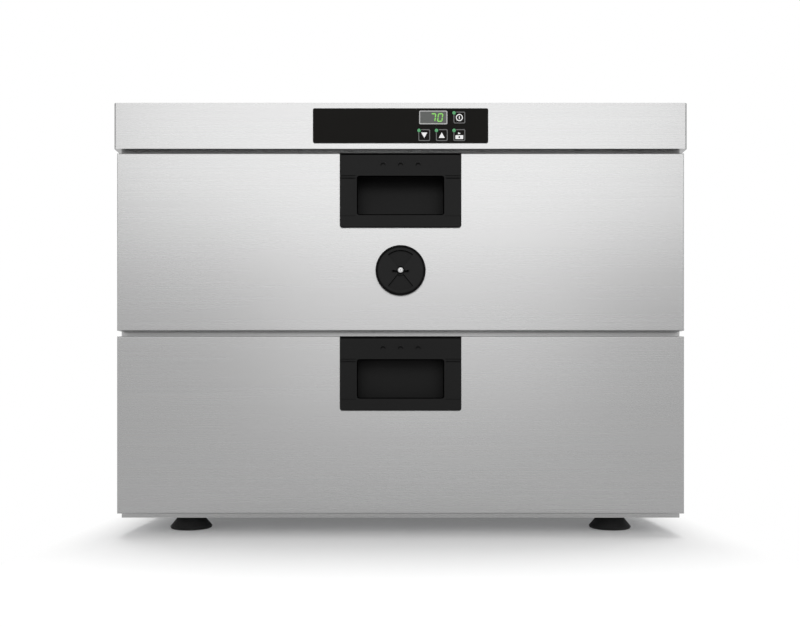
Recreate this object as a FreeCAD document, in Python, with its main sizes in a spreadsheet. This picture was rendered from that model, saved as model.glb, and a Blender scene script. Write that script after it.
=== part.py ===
"""Two-drawer warming cabinet, in millimetres.

+X is to the right of someone facing the drawers, +Y goes into the cabinet and +Z is up.
The origin lies on the floor, at the middle of the cabinet's width and depth.
"""

import FreeCAD, Part
import Sketcher
import math
import os
import sys
from types import SimpleNamespace

# Driving dimensions

SIZES = {
    # pans and their frames, round which the cabinet is built
    "pan_length": 530.0,
    "pan_width": 325.0,
    "pan_depth": 100.0,
    "pan_rim": 11.0,
    "pan_sheet": 0.8,
    "pan_corner": 52.0,
    "pan_rim_corner": 58.0,
    "pan_taper": 12.0,
    "pan_bevel": 9.0,
    "pan_play": 1.0,
    "pan_drop": 14.0,
    "tray_side": 15.5,
    "tray_border": 40.0,
    "tray_rear_gap": 32.2,
    # cabinet
    "wall_depth": 31.5,
    "cap_height": 52.7,
    "cap_lap": 2.0,
    "cap_corner": 2.4,
    "cap_edge": 0.8,
    "sheet": 1.2,
    "flange": 15.0,
    "base_reveal": 7.5,
    "drawer_gap": 6.5,
    "top_gap": 5.3,
    "opening_land": 12.0,
    "opening_corner": 6.0,
    "rear_gap": 37.0,
    "rear_blanket": 20.0,
    "liner_sheet": 0.8,
    "overrun": 5.0,
    "running_gap": 0.3,
    # feet
    "foot_height": 19.0,
    "foot_radius": 25.0,
    "foot_top_radius": 16.0,
    "foot_rim": 3.0,
    "foot_neck": 5.0,
    "foot_inset": 72.0,
    "foot_setback": 48.0,
    "foot_bore": 3.3,
    "foot_recess_radius": 8.0,
    "foot_recess_depth": 9.0,
    "foot_screw_radius": 3.0,
    "foot_screw_head": 6.0,
    "foot_screw_head_height": 4.0,
    "foot_screw_reach": 8.0,
    "foot_screw_clear": 1.0,
    # case screws
    "case_screw_radius": 1.8,
    "case_screw_head": 3.8,
    "case_screw_head_height": 1.6,
    "case_screw_reach": 5.0,
    "screw_play": 0.2,
    # louvres and cable gland
    "louvre_length": 90.0,
    "louvre_height": 5.0,
    "louvre_pitch": 12.0,
    "louvre_base": 150.0,
    "louvre_offset": 120.0,
    "gland_inset": 70.0,
    "gland_drop": 110.0,
    "gland_radius": 10.0,
    "gland_nut_radius": 13.0,
    "gland_nut_height": 7.0,
    "gland_dome_radius": 9.5,
    "gland_reach": 17.0,
    "gland_bore": 4.5,
    "gland_thread_reach": 6.0,
    "gland_lock_height": 4.0,
    # drawer fronts
    "front_inset": 3.5,
    "front_height": 202.5,
    "front_depth": 19.0,
    "front_corner": 1.0,
    "plug_gap": 4.0,
    "plug_depth": 14.0,
    "gasket_thick": 2.7,
    "gasket_width": 8.0,
    "gasket_margin": 1.0,
    # handle
    "handle_width": 138.6,
    "handle_height": 85.0,
    "handle_proud": 3.0,
    "handle_corner": 3.0,
    "handle_edge": 0.8,
    "recess_width": 99.6,
    "recess_height": 45.0,
    "recess_drop": 26.2,
    "recess_depth": 28.0,
    "recess_corner": 3.0,
    "recess_undercut": 5.0,
    "recess_lip": 6.0,
    "handle_wall": 2.5,
    "band_step": 0.3,
    "band_bevel": 2.2,
    "plug_cap_radius": 3.4,
    "plug_cap_depth": 2.0,
    "plug_cap_sink": 0.3,
    "plug_cap_pitch": 20.0,
    "plug_cap_drop": 13.3,
    # vent
    "vent_drop": 134.0,
    "vent_radius": 28.5,
    "vent_ring": 2.1,
    "vent_proud": 5.0,
    "vent_floor": 1.5,
    "vent_sleeve_radius": 24.0,
    "vent_sleeve_wall": 1.6,
    "vent_disc_thick": 2.2,
    "vent_port_outer": 23.0,
    "vent_port_inner": 5.5,
    "vent_port_angle": 78.0,
    "hub_radius": 4.5,
    "grip_length": 19.5,
    "grip_height": 4.4,
    "grip_proud": 1.4,
    "rivet_radius": 1.8,
    "rivet_head": 3.1,
    "rivet_head_height": 1.2,
    "rivet_play": 0.2,
    # slides
    "rail_height": 46.0,
    "rail_depth": 13.5,
    "rail_sheet": 1.3,
    "rail_overhang": 15.0,
    "rail_gap": 0.4,
    "rail_below_rim": 25.0,
    # heating element and its carriers
    "element_radius": 4.0,
    "element_pitch": 100.0,
    "element_lift": 12.0,
    "element_front_gap": 70.0,
    "element_rear_gap": 66.0,
    "element_tail": 12.0,
    "element_play": 0.3,
    "carrier_margin": 20.0,
    "carrier_thick": 1.5,
    "carrier_foot": 10.0,
    # probe and thermostat
    "probe_radius": 3.0,
    "probe_reach": 60.0,
    "probe_collar_radius": 8.0,
    "probe_collar_height": 3.0,
    "probe_inset": 144.0,
    "probe_rear_gap": 8.0,
    "thermostat_radius": 13.0,
    "thermostat_height": 9.0,
    "thermostat_tab_width": 6.3,
    "thermostat_tab_height": 8.0,
    "thermostat_tab_thick": 0.8,
    "thermostat_inset": 175.5,
    # transformer and terminal block
    "core_length": 60.0,
    "core_width": 34.0,
    "core_height": 36.0,
    "coil_length": 34.0,
    "coil_width": 50.0,
    "coil_height": 26.0,
    "core_inset": 125.5,
    "core_setback": 160.0,
    "terminal_length": 66.0,
    "terminal_width": 20.0,
    "terminal_height": 16.0,
    "terminal_pitch": 11.0,
    "terminal_bore": 3.0,
    "terminal_bore_depth": 9.0,
    "terminal_inset": 125.5,
    "terminal_setback": 60.0,
    # control panel
    "panel_width": 200.0,
    "panel_height": 39.3,
    "panel_thick": 1.5,
    "panel_drop": 7.0,
    "panel_corner": 2.0,
    "panel_top_margin": 1.7,
    "panel_foot_margin": 0.55,
    "panel_side_margin": 4.0,
    "key_size": 13.4,
    "key_corner": 1.6,
    "key_play": 0.25,
    "key_proud": 0.6,
    "key_travel": 0.5,
    "key_flange": 1.0,
    "key_flange_thick": 1.0,
    "key_pitch": 20.0,
    "key_column": 27.0,
    "key_drop": 1.15,
    "light_radius": 1.9,
    "light_play": 0.15,
    "light_side": 6.0,
    "light_rise": 5.5,
    "light_proud": 0.2,
    "display_width": 32.3,
    "display_height": 15.7,
    "display_corner": 1.5,
    "display_play": 0.1,
    "display_side": 37.3,
    "display_rise": 9.1,
    "module_margin": 2.0,
    # control board
    "board_width": 210.0,
    "board_height": 44.0,
    "board_thick": 1.6,
    "stud_length": 8.0,
    "stud_radius": 2.5,
    "stud_side": 100.5,
    "stud_rise": 18.5,
    "switch_size": 6.0,
    "switch_gap": 0.6,
    "relay_width": 28.0,
    "relay_height": 12.0,
    "relay_depth": 8.0,
}

KEY_PLACES = {
    "power_key": (2, 1),
    "down_key": (0, 0),
    "up_key": (1, 0),
    "start_key": (2, 0),
}
CASE_SCREW_SHARES = (0.12, 0.5, 0.84)
LOUVRE_COUNT = 6
TERMINAL_COUNT = 5
RIM_TURN_SHARE = 0.29
GRIP_END_SHARE = 0.48
RIVET_DOME_SHARES = ((0, 1), (0.55, 0.93), (0.85, 0.6), (1, 0.25))
ELEMENT_RUNS = 4
CARRIER_SHARES = (0.2, 0.75)
PLUG_CAP_COLUMNS = (-1, 0, 1)
SIDES = {"left": -1, "right": 1}

doc = FreeCAD.newDocument("WarmingDrawer")
sheet = doc.addObject("Spreadsheet::Sheet", "Dims")
pieces = []


class Size:
    """A length as its value and the sheet formula that gives it, so that sums keep both."""

    def __init__(self, value, text):
        self.value = value
        self.text = text

    def joined(self, sign, other, value):
        return Size(value, f"({self.text} {sign} {other.text})")

    def __add__(self, other):
        other = sized(other)
        return self.joined("+", other, self.value + other.value)

    def __sub__(self, other):
        other = sized(other)
        return self.joined("-", other, self.value - other.value)

    def __mul__(self, other):
        other = sized(other)
        return self.joined("*", other, self.value * other.value)

    def __truediv__(self, other):
        other = sized(other)
        return self.joined("/", other, self.value / other.value)

    def __radd__(self, other):
        return sized(other) + self

    def __rsub__(self, other):
        return sized(other) - self

    def __rmul__(self, other):
        return sized(other) * self

    def __neg__(self):
        return Size(-self.value, f"(-{self.text})")


def sized(thing):
    """The thing as a Size: numbers become their own formula."""
    if isinstance(thing, Size):
        return thing
    return Size(float(thing), repr(float(thing)))


def larger(first, second):
    """The larger of two sizes."""
    return Size(max(first.value, second.value), f"max({first.text}; {second.text})")


def fill_sheet():
    """Writes each driving dimension into a cell under its own alias and reads them all back."""
    for row, (alias, number) in enumerate(SIZES.items(), start=1):
        sheet.set(f"A{row}", alias)
        sheet.set(f"B{row}", str(number))
        sheet.setAlias(f"B{row}", alias)
    doc.recompute()
    return SimpleNamespace(
        **{alias: Size(float(getattr(sheet, alias)), f"Dims.{alias}") for alias in SIZES}
    )


s = fill_sheet()


# Planes and spans that several pieces share

def about(width, centre=0):
    """The span of a width about its centre."""
    return centre - width / 2, centre + width / 2


def shrunk(span, by):
    """A span drawn in at both ends."""
    return span[0] + by, span[1] - by


vent_reach = s.vent_floor + s.running_gap + s.vent_disc_thick + s.grip_proud + s.rivet_head_height
front_reach = larger(s.handle_proud, vent_reach)
tray_depth = s.pan_width + 2 * s.tray_border
chamber_depth = s.front_depth + s.plug_depth + tray_depth + s.tray_rear_gap + s.liner_sheet
body_depth = chamber_depth + s.rear_gap
face_y = (front_reach - (body_depth + s.gland_reach)) / 2
frame_y = face_y + s.front_depth + s.gasket_thick + s.running_gap
frame_back = frame_y + s.sheet
back_y = face_y + body_depth
liner_back = back_y - s.rear_gap
plug_back = face_y + s.front_depth + s.plug_depth
rail_front = plug_back + s.running_gap

base_z = s.foot_height
lower_z = base_z + s.base_reveal
upper_z = lower_z + s.front_height + s.drawer_gap
cap_z = upper_z + s.front_height + s.top_gap
top_z = cap_z + s.cap_height
panel_z = top_z - s.panel_drop - s.panel_height / 2

tray_half = s.pan_length / 2 + s.tray_side
opening_half = tray_half + s.rail_depth
body_half = opening_half + s.wall_depth
cap_half = body_half + s.cap_lap
front_half = cap_half - s.front_inset
opening_x = (-opening_half, opening_half)
chamber_z = (lower_z + s.opening_land, upper_z + s.front_height - s.opening_land)
liner_x = shrunk(opening_x, -s.liner_sheet)
liner_z = shrunk(chamber_z, -s.liner_sheet)


# Helpers for bound primitives

def block(name, x, y, z):
    """A box from its three spans, with sizes and place bound to the sheet."""
    box = doc.addObject("Part::Box", name)
    for prop, span in zip(("Length", "Width", "Height"), (x, y, z)):
        box.setExpression(prop, (span[1] - span[0]).text)
    place(box, x[0], y[0], z[0])
    return box


def place(thing, x, y, z):
    """Binds a thing's place to the sheet."""
    for axis, size in zip("xyz", (x, y, z)):
        thing.setExpression(f"Placement.Base.{axis}", sized(size).text)
    return thing


TURNS = {
    "x": FreeCAD.Rotation(FreeCAD.Vector(0, 1, 0), 90),
    "y": FreeCAD.Rotation(FreeCAD.Vector(1, 0, 0), -90),
    "z": FreeCAD.Rotation(),
}


def rod(name, radius, x, y, z, along="z"):
    """A cylinder along one axis: that axis has a span and the other two have a centre."""
    span = {"x": x, "y": y, "z": z}[along]
    start = {"x": x, "y": y, "z": z}
    start[along] = span[0]
    cylinder = doc.addObject("Part::Cylinder", name)
    cylinder.setExpression("Radius", radius.text)
    cylinder.setExpression("Height", (span[1] - span[0]).text)
    cylinder.Placement = FreeCAD.Placement(FreeCAD.Vector(), TURNS[along])
    return place(cylinder, start["x"], start["y"], start["z"])


def sector(name, radius, angle, middle, y):
    """A wedge of a cylinder along Y about the vent's centre, from the X-Z angle of its middle."""
    wedge = doc.addObject("Part::Cylinder", name)
    wedge.setExpression("Radius", radius.text)
    wedge.setExpression("Angle", angle.text)
    wedge.setExpression("Height", (y[1] - y[0]).text)
    start = FreeCAD.Rotation(FreeCAD.Vector(0, 1, 0), -middle - angle.value / 2)
    wedge.Placement = FreeCAD.Placement(FreeCAD.Vector(), start.multiply(TURNS["y"]))
    return place(wedge, 0, y[0], vent_z)


def fused(name, things):
    """One solid of several that meet."""
    union = doc.addObject("Part::MultiFuse", name)
    union.Shapes = things
    return union


def cut(name, base, tools):
    """The base without the tools."""
    tool = tools[0] if len(tools) == 1 else fused(name + "_tools", tools)
    result = doc.addObject("Part::Cut", name)
    result.Base = base
    result.Tool = tool
    return result


def group(name, things):
    """Separate solids that share one name."""
    compound = doc.addObject("Part::Compound", name)
    compound.Links = things
    return compound


def edges_where(shape, test):
    """The numbers of the shape's edges that pass a test."""
    return [i for i, edge in enumerate(shape.Edges, start=1) if test(edge)]


def runs_along(edge, axis):
    """Whether an edge is straight and lies along an axis."""
    if not isinstance(edge.Curve, Part.Line):
        return False
    return abs(abs(edge.Curve.Direction.dot(FreeCAD.Vector(*axis))) - 1) < 0.01


def rounded(name, base, size, test, kind="Fillet"):
    """The base with the edges that pass a test rounded, or bevelled if the kind is Chamfer."""
    doc.recompute()
    result = doc.addObject(f"Part::{kind}", name)
    result.Base = base
    result.Edges = [(i, size.value, size.value) for i in edges_where(base.Shape, test)]
    return result


def soft_block(name, x, y, z, radius, axis=(0, 1, 0)):
    """A box whose four edges along one axis are rounded."""
    box = block(name + "_box", x, y, z)
    return rounded(name, box, radius, lambda edge: runs_along(edge, axis))


def piece(thing, label):
    """Names a finished sub-part and keeps it for writing."""
    thing.Label = label
    pieces.append(thing)
    return thing


# Helpers for sketches

def origin_plane(body, role):
    """One of a body's own base planes."""
    return next(f for f in body.Origin.OriginFeatures if f.Role == role)


def sketch_on(body, role, name):
    """A new sketch on one of a body's own base planes."""
    sketch = body.newObject("Sketcher::SketchObject", name)
    sketch.AttachmentSupport = (origin_plane(body, role), [""])
    sketch.MapMode = "FlatFace"
    return sketch


def bind_last(sketch, index, size):
    """Ties a constraint to the sheet."""
    sketch.setExpression(f"Constraints[{index}]", sized(size).text)


def pin_point(sketch, line, end, x, y):
    """Holds a line's end at a place measured from the sketch's origin."""
    for kind, size in (("DistanceX", x), ("DistanceY", y)):
        if abs(sized(size).value) > 0:
            index = sketch.addConstraint(
                Sketcher.Constraint(kind, -1, 1, line, end, sized(size).value)
            )
            bind_last(sketch, index, size)
        else:
            axis = -2 if kind == "DistanceX" else -1
            sketch.addConstraint(Sketcher.Constraint("PointOnObject", line, end, axis))


def outline(sketch, points):
    """A closed outline of straight lines through points that are bound to the sheet."""
    places = [FreeCAD.Vector(sized(x).value, sized(y).value, 0) for x, y in points]
    first = sketch.GeometryCount
    count = len(points)
    for i in range(count):
        sketch.addGeometry(Part.LineSegment(places[i], places[(i + 1) % count]))
    for i in range(count):
        after = first + (i + 1) % count
        sketch.addConstraint(Sketcher.Constraint("Coincident", first + i, 2, after, 1))
    for i, (x, y) in enumerate(points):
        pin_point(sketch, first + i, 1, x, y)


def rectangle(sketch, x, y):
    """A rectangle between two spans."""
    outline(sketch, [(x[0], y[0]), (x[1], y[0]), (x[1], y[1]), (x[0], y[1])])


def circle(sketch, radius, x, y):
    """A circle whose radius and centre are bound to the sheet."""
    centre = FreeCAD.Vector(sized(x).value, sized(y).value, 0)
    line = sketch.addGeometry(Part.Circle(centre, FreeCAD.Vector(0, 0, 1), radius.value))
    index = sketch.addConstraint(Sketcher.Constraint("Radius", line, radius.value))
    bind_last(sketch, index, radius)
    pin_point(sketch, line, 3, x, y)


def pad(body, sketch, length, name, reverse=False):
    """A pad of a sketch."""
    feature = body.newObject("PartDesign::Pad", name)
    feature.Profile = sketch
    feature.setExpression("Length", length.text)
    feature.Reversed = reverse
    sketch.Visibility = False
    return feature


def pocket(body, sketch, depth, name, reverse=False):
    """A pocket of a sketch."""
    feature = body.newObject("PartDesign::Pocket", name)
    feature.Profile = sketch
    feature.setExpression("Length", depth.text)
    feature.Reversed = reverse
    return feature


def edged(body, base, size, test, name, kind="Fillet"):
    """A body's feature with the edges that pass a test rounded, or bevelled for a Chamfer."""
    doc.recompute()
    feature = body.newObject(f"PartDesign::{kind}", name)
    feature.Base = (base, [f"Edge{i}" for i in edges_where(base.Shape, test)])
    feature.setExpression("Radius" if kind == "Fillet" else "Size", size.text)
    body.Tip = feature
    return feature


def revolved(label, points, x, y, z, role="XZ_Plane"):
    """A body turned from a half outline about the sketch's upright axis."""
    body = doc.addObject("PartDesign::Body", label)
    sketch = sketch_on(body, role, label + "_outline")
    outline(sketch, points)
    turned = body.newObject("PartDesign::Revolution", label + "_turned")
    turned.Profile = sketch
    turned.ReferenceAxis = (sketch, ["V_Axis"])
    turned.Angle = 360.0
    place(body, x, y, z)
    return body


# Cabinet shell

def top_cap():
    """The folded lid, its front return over the drawers and the studs behind its face."""
    cap_x = (-cap_half, cap_half)
    cap_y = (face_y, back_y + s.cap_lap)
    folded = soft_block("cap_fold", cap_x, cap_y, (cap_z, top_z), s.cap_corner, (0, 0, 1))

    def around_the_top(edge):
        return edge.BoundBox.ZMin > top_z.value - s.cap_edge.value

    skin = rounded("cap_skin", folded, s.cap_edge, around_the_top, "Chamfer")
    inside_x = shrunk(cap_x, s.sheet)
    hollow = block("cap_hollow", inside_x, shrunk(cap_y, s.sheet), (cap_z - s.overrun, top_z - s.sheet))
    low, high = about(s.panel_height, panel_z)
    window = block(
        "cap_window",
        about(s.panel_width - 2 * s.panel_side_margin),
        (face_y - s.overrun, face_y + s.sheet + s.overrun),
        (low + s.panel_foot_margin, high - s.panel_top_margin),
    )
    shell = cut("cap_shell", skin, [hollow, window])
    front_return = block("cap_return", inside_x, (face_y + s.sheet, frame_y), (cap_z, cap_z + s.sheet))
    studs = [
        rod(
            f"cap_stud_{i}",
            s.stud_radius,
            side * s.stud_side,
            (face_y + s.sheet, face_y + s.sheet + s.stud_length),
            panel_z + rise * s.stud_rise,
            "y",
        )
        for i, (side, rise) in enumerate(((-1, -1), (-1, 1), (1, -1), (1, 1)))
    ]
    piece(fused("cap", [shell, front_return] + studs), "top_cap")


def case_screw_heights():
    """The heights of the screws up each rear corner."""
    height = cap_z - base_z
    return [base_z + share * height for share in CASE_SCREW_SHARES]


def side_panels():
    """The two folded sides, with screw holes in their rear flanges."""
    for name, side in SIDES.items():
        outer = (side * body_half, side * (body_half - s.flange))
        inner = (side * (body_half - s.sheet), side * (body_half - s.flange - s.overrun))
        if side > 0:
            outer = outer[::-1]
            inner = inner[::-1]
        depth = (frame_back, back_y - s.sheet)
        tray = block(f"{name}_tray", outer, depth, (base_z, top_z - s.sheet))
        inside = block(
            f"{name}_inside",
            inner,
            shrunk(depth, s.sheet),
            (base_z - s.overrun, top_z - 2 * s.sheet),
        )
        holes = [
            rod(
                f"{name}_screw_hole_{i}",
                s.case_screw_radius + s.screw_play,
                side * (body_half - s.flange / 2),
                (back_y - 2 * s.sheet - s.overrun, back_y),
                height,
                "y",
            )
            for i, height in enumerate(case_screw_heights())
        ]
        piece(cut(f"{name}_panel", tray, [inside] + holes), f"{name}_side_panel")


def back_panel():
    """The rear plate with its louvres, gland hole and screw holes."""
    body = doc.addObject("PartDesign::Body", "back_panel")
    plate = sketch_on(body, "XZ_Plane", "back_outline")
    rectangle(plate, about(2 * body_half), (base_z, top_z - s.sheet))
    pad(body, plate, s.sheet, "back_plate", True)
    holes = sketch_on(body, "XZ_Plane", "back_holes")
    circle(holes, s.gland_radius + s.screw_play, s.gland_inset - body_half, cap_z - s.gland_drop)
    for side in SIDES.values():
        for height in case_screw_heights():
            reach = side * (body_half - s.flange / 2)
            circle(holes, s.case_screw_radius + s.screw_play, reach, height)
    pocket(body, holes, s.sheet, "back_bores", False)
    slots = sketch_on(body, "XZ_Plane", "back_slots")
    for side in SIDES.values():
        reach = about(s.louvre_length, side * s.louvre_offset)
        rectangle(slots, reach, about(s.louvre_height, s.louvre_base))
    first = pocket(body, slots, s.sheet, "back_slot_row", False)
    doc.recompute()
    rows = body.newObject("PartDesign::LinearPattern", "back_louvres")
    rows.Originals = [first]
    rows.Direction = (slots, ["V_Axis"])
    rows.Mode = "Spacing"
    rows.setExpression("Offset", s.louvre_pitch.text)
    rows.Occurrences = LOUVRE_COUNT
    body.Tip = rows
    place(body, 0, back_y - s.sheet, 0)
    piece(body, "back_panel")


def foot_places():
    """The four foot centres, by the name of their corner."""
    rear = back_y - s.foot_setback
    front = frame_y + s.foot_setback
    reach = cap_half - s.foot_inset
    return {
        "front_left_foot": (-reach, front),
        "front_right_foot": (reach, front),
        "rear_left_foot": (-reach, rear),
        "rear_right_foot": (reach, rear),
    }


def base_pan():
    """The folded floor tray, with a hole over each foot."""
    x = about(2 * (body_half - s.sheet))
    y = (frame_back + s.sheet, back_y - 2 * s.sheet)
    tray = block("base_tray", x, y, (base_z, base_z + s.flange))
    inside_z = (base_z + s.sheet, base_z + s.flange + s.overrun)
    inside = block("base_inside", shrunk(x, s.sheet), shrunk(y, s.sheet), inside_z)
    through = (base_z - s.overrun, base_z + s.sheet + s.overrun)
    holes = [
        rod(f"base_hole_{name}", s.foot_bore, foot_x, foot_y, through)
        for name, (foot_x, foot_y) in foot_places().items()
    ]
    piece(cut("base", tray, [inside] + holes), "base_pan")


def opening_z(drawer_z):
    """The height span of the frame's opening behind a drawer front."""
    return shrunk((drawer_z, drawer_z + s.front_height), s.opening_land)


def front_frame():
    """The face plate with one opening for each drawer."""
    y = (frame_y, frame_back)
    plate = block("frame_plate", about(2 * body_half), y, (base_z, cap_z + s.flange))
    through = (frame_y - s.overrun, frame_back + s.overrun)
    openings = [
        soft_block(f"frame_opening_{i}", opening_x, through, opening_z(drawer_z), s.opening_corner)
        for i, drawer_z in enumerate((lower_z, upper_z))
    ]
    piece(cut("frame", plate, openings), "front_frame")


def element_places():
    """The X places of the heating element's runs."""
    middle = (ELEMENT_RUNS - 1) / 2
    return [(i - middle) * s.element_pitch for i in range(ELEMENT_RUNS)]


element_z = chamber_z[0] + s.element_lift
probe_x = opening_half - s.probe_inset
probe_y = liner_back - s.liner_sheet - s.probe_rear_gap


def tail_bores(name, y):
    """Rods that clear the heating element's two tails."""
    ends = (element_places()[0], element_places()[-1])
    return [
        rod(f"{name}_tail_{i}", s.element_radius + s.element_play, x, y, element_z, "y")
        for i, x in enumerate(ends)
    ]


def chamber_liner():
    """The inner box, open to the front, with bores for the element's tails and the probe."""
    shell = block("liner_shell", liner_x, (frame_back, liner_back), liner_z)
    inside = block(
        "liner_inside", opening_x, (frame_back - s.overrun, liner_back - s.liner_sheet), chamber_z
    )
    tails = tail_bores("liner", (liner_back - s.liner_sheet - s.overrun, liner_back + s.overrun))
    bore = rod(
        "liner_probe_bore",
        s.probe_radius + s.screw_play,
        probe_x,
        probe_y,
        (chamber_z[1] - s.overrun, liner_z[1] + s.overrun),
    )
    piece(cut("liner", shell, [inside, bore] + tails), "chamber_liner")


def insulation_blanket():
    """The mineral wool round the liner, cut out for what passes through it."""
    y = (frame_back + 2 * s.sheet, liner_back + s.rear_blanket)
    wool = block("wool", about(2 * (body_half - 2 * s.sheet)), y, (base_z + s.sheet, cap_z))
    inside = block("wool_inside", liner_x, (frame_back - s.overrun, liner_back), liner_z)
    tails = tail_bores("wool", (liner_back - s.overrun, liner_back + s.rear_blanket + s.overrun))
    bore = rod(
        "wool_probe_bore",
        s.probe_radius + s.screw_play,
        probe_x,
        probe_y,
        (liner_z[1] - s.overrun, cap_z + s.overrun),
    )
    wells = [
        rod(
            f"wool_well_{name}",
            s.foot_screw_radius + s.foot_screw_clear,
            foot_x,
            foot_y,
            (base_z, base_z + s.foot_screw_reach + s.foot_screw_clear),
        )
        for name, (foot_x, foot_y) in foot_places().items()
    ]
    piece(cut("blanket", wool, [inside, bore] + tails + wells), "insulation_blanket")


def compartment_floor():
    """The plate between the wool and the electrical compartment."""
    y = (frame_back + s.sheet, back_y - 2 * s.sheet)
    plate = block("floor_plate", about(2 * (body_half - s.sheet)), y, (cap_z, cap_z + s.sheet))
    bore = rod(
        "floor_probe_bore",
        s.probe_radius + s.screw_play,
        probe_x,
        probe_y,
        (cap_z - s.overrun, cap_z + s.sheet + s.overrun),
    )
    piece(cut("floor", plate, [bore]), "compartment_floor")


def feet():
    """The four turned feet, each a cone under a neck, with a rounded rim and a screw recess."""
    turn = RIM_TURN_SHARE * s.foot_rim
    points = [
        (s.foot_recess_radius, 0),
        (s.foot_radius - s.foot_rim, 0),
        (s.foot_radius - turn, turn),
        (s.foot_radius, s.foot_rim),
        (s.foot_top_radius, s.foot_height - s.foot_neck),
        (s.foot_top_radius, s.foot_height),
        (s.foot_bore, s.foot_height),
        (s.foot_bore, s.foot_recess_depth),
        (s.foot_recess_radius, s.foot_recess_depth),
    ]
    for label, (x, y) in foot_places().items():
        piece(revolved(label, points, x, y, 0), label)


def foot_screws():
    """A pan-head screw up through each foot into the base."""
    screws = []
    for label, (x, y) in foot_places().items():
        seat = s.foot_recess_depth
        head = rod(f"{label}_head", s.foot_screw_head, x, y, (seat - s.foot_screw_head_height, seat))
        shank = rod(f"{label}_shank", s.foot_screw_radius, x, y, (seat, base_z + s.foot_screw_reach))
        screws.append(fused(f"{label}_screw", [head, shank]))
    piece(group("foot_screw_set", screws), "foot_screws")


def case_screws():
    """The screws that hold the back panel to the side panels."""
    screws = []
    head_y = (back_y, back_y + s.case_screw_head_height)
    reach = (back_y - s.case_screw_reach, back_y)
    for side_name, side in SIDES.items():
        for i, z in enumerate(case_screw_heights()):
            x = side * (body_half - s.flange / 2)
            name = f"{side_name}_case_screw_{i}"
            head = rod(f"{name}_head", s.case_screw_head, x, head_y, z, "y")
            shank = rod(f"{name}_shank", s.case_screw_radius, x, reach, z, "y")
            screws.append(fused(name, [head, shank]))
    piece(group("case_screw_set", screws), "case_screws")


def cable_gland():
    """The cord inlet: a nut, a dome and a threaded neck with its lock nut inside."""
    inside = -(s.sheet + s.gland_thread_reach)
    lock = -(s.sheet + s.gland_lock_height)
    points = [
        (s.gland_bore, inside),
        (s.gland_radius, inside),
        (s.gland_radius, lock),
        (s.gland_nut_radius, lock),
        (s.gland_nut_radius, -s.sheet),
        (s.gland_radius, -s.sheet),
        (s.gland_radius, 0),
        (s.gland_nut_radius, 0),
        (s.gland_nut_radius, s.gland_nut_height),
        (s.gland_dome_radius, s.gland_nut_height),
        ((s.gland_dome_radius + s.gland_bore) / 2, s.gland_reach),
        (s.gland_bore, s.gland_reach),
    ]
    x = s.gland_inset - body_half
    piece(revolved("cable_gland", points, x, back_y, cap_z - s.gland_drop, "XY_Plane"), "cable_gland")


# Inside the chamber

def heating_element():
    """One tube laid in straight runs joined by half turns, with both tails at the rear."""
    xs = [x.value for x in element_places()]
    front = (frame_back + s.element_front_gap).value
    rear = (liner_back - s.element_rear_gap).value
    end = (liner_back + s.rear_blanket + s.element_tail).value
    z = element_z.value
    edges = []
    for i, x in enumerate(xs):
        far = end if i in (0, len(xs) - 1) else rear
        leg = [FreeCAD.Vector(x, far, z), FreeCAD.Vector(x, front, z)]
        if i % 2:
            leg.reverse()
        edges.append(Part.makeLine(*leg))
        if i + 1 < len(xs):
            ahead = -1 if i % 2 == 0 else 1
            turn_y = front if i % 2 == 0 else rear
            middle = (x + xs[i + 1]) / 2
            radius = (xs[i + 1] - x) / 2
            top = FreeCAD.Vector(middle, turn_y + ahead * radius, z)
            arc = Part.Arc(FreeCAD.Vector(x, turn_y, z), top, FreeCAD.Vector(xs[i + 1], turn_y, z))
            edges.append(arc.toShape())
    start = FreeCAD.Vector(xs[0], end, z)
    section = Part.Wire(Part.makeCircle(s.element_radius.value, start, FreeCAD.Vector(0, 1, 0)))
    element = doc.addObject("Part::Feature", "element")
    element.Shape = Part.Wire(edges).makePipeShell([section], True, True)
    piece(element, "heating_element")


def element_brackets():
    """Two notched strips that stand on the chamber floor and carry the element."""
    half = element_places()[-1] + s.carrier_margin
    span = liner_back - frame_back - s.element_front_gap - s.element_rear_gap
    brackets = []
    for i, share in enumerate(CARRIER_SHARES):
        y = frame_back + s.element_front_gap + share * span
        wall = block(f"carrier_{i}_wall", (-half, half), (y, y + s.carrier_thick), (chamber_z[0], element_z))
        foot = block(
            f"carrier_{i}_foot",
            (-half, half),
            (y + s.carrier_thick, y + s.carrier_foot),
            (chamber_z[0], chamber_z[0] + s.carrier_thick),
        )
        notches = [
            rod(
                f"carrier_{i}_notch_{j}",
                s.element_radius,
                x,
                (y - s.overrun, y + s.carrier_foot + s.overrun),
                element_z,
                "y",
            )
            for j, x in enumerate(element_places())
        ]
        brackets.append(cut(f"carrier_{i}", fused(f"carrier_{i}_strip", [wall, foot]), notches))
    piece(group("carriers", brackets), "element_brackets")


def temperature_probe():
    """A sensing tube hung from the compartment floor into the back of the chamber."""
    seat = cap_z + s.sheet
    tube = rod("probe_tube", s.probe_radius, probe_x, probe_y, (chamber_z[1] - s.probe_reach, seat))
    top = seat + s.probe_collar_height
    collar = rod("probe_collar", s.probe_collar_radius, probe_x, probe_y, (seat, top))
    piece(fused("probe", [tube, collar]), "temperature_probe")


def safety_thermostat():
    """A round cut-out switch with two blade tabs, on the compartment floor."""
    seat = cap_z + s.sheet
    x = s.thermostat_inset - body_half
    y = (frame_back + back_y) / 2
    can = rod("thermostat_can", s.thermostat_radius, x, y, (seat, seat + s.thermostat_height))
    top = seat + s.thermostat_height
    tabs = [
        block(
            f"thermostat_tab_{i}",
            about(s.thermostat_tab_width, x),
            about(s.thermostat_tab_thick, y + side * s.thermostat_radius / 2),
            (top, top + s.thermostat_tab_height),
        )
        for i, side in enumerate((-1, 1))
    ]
    piece(fused("thermostat", [can] + tabs), "safety_thermostat")


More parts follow.
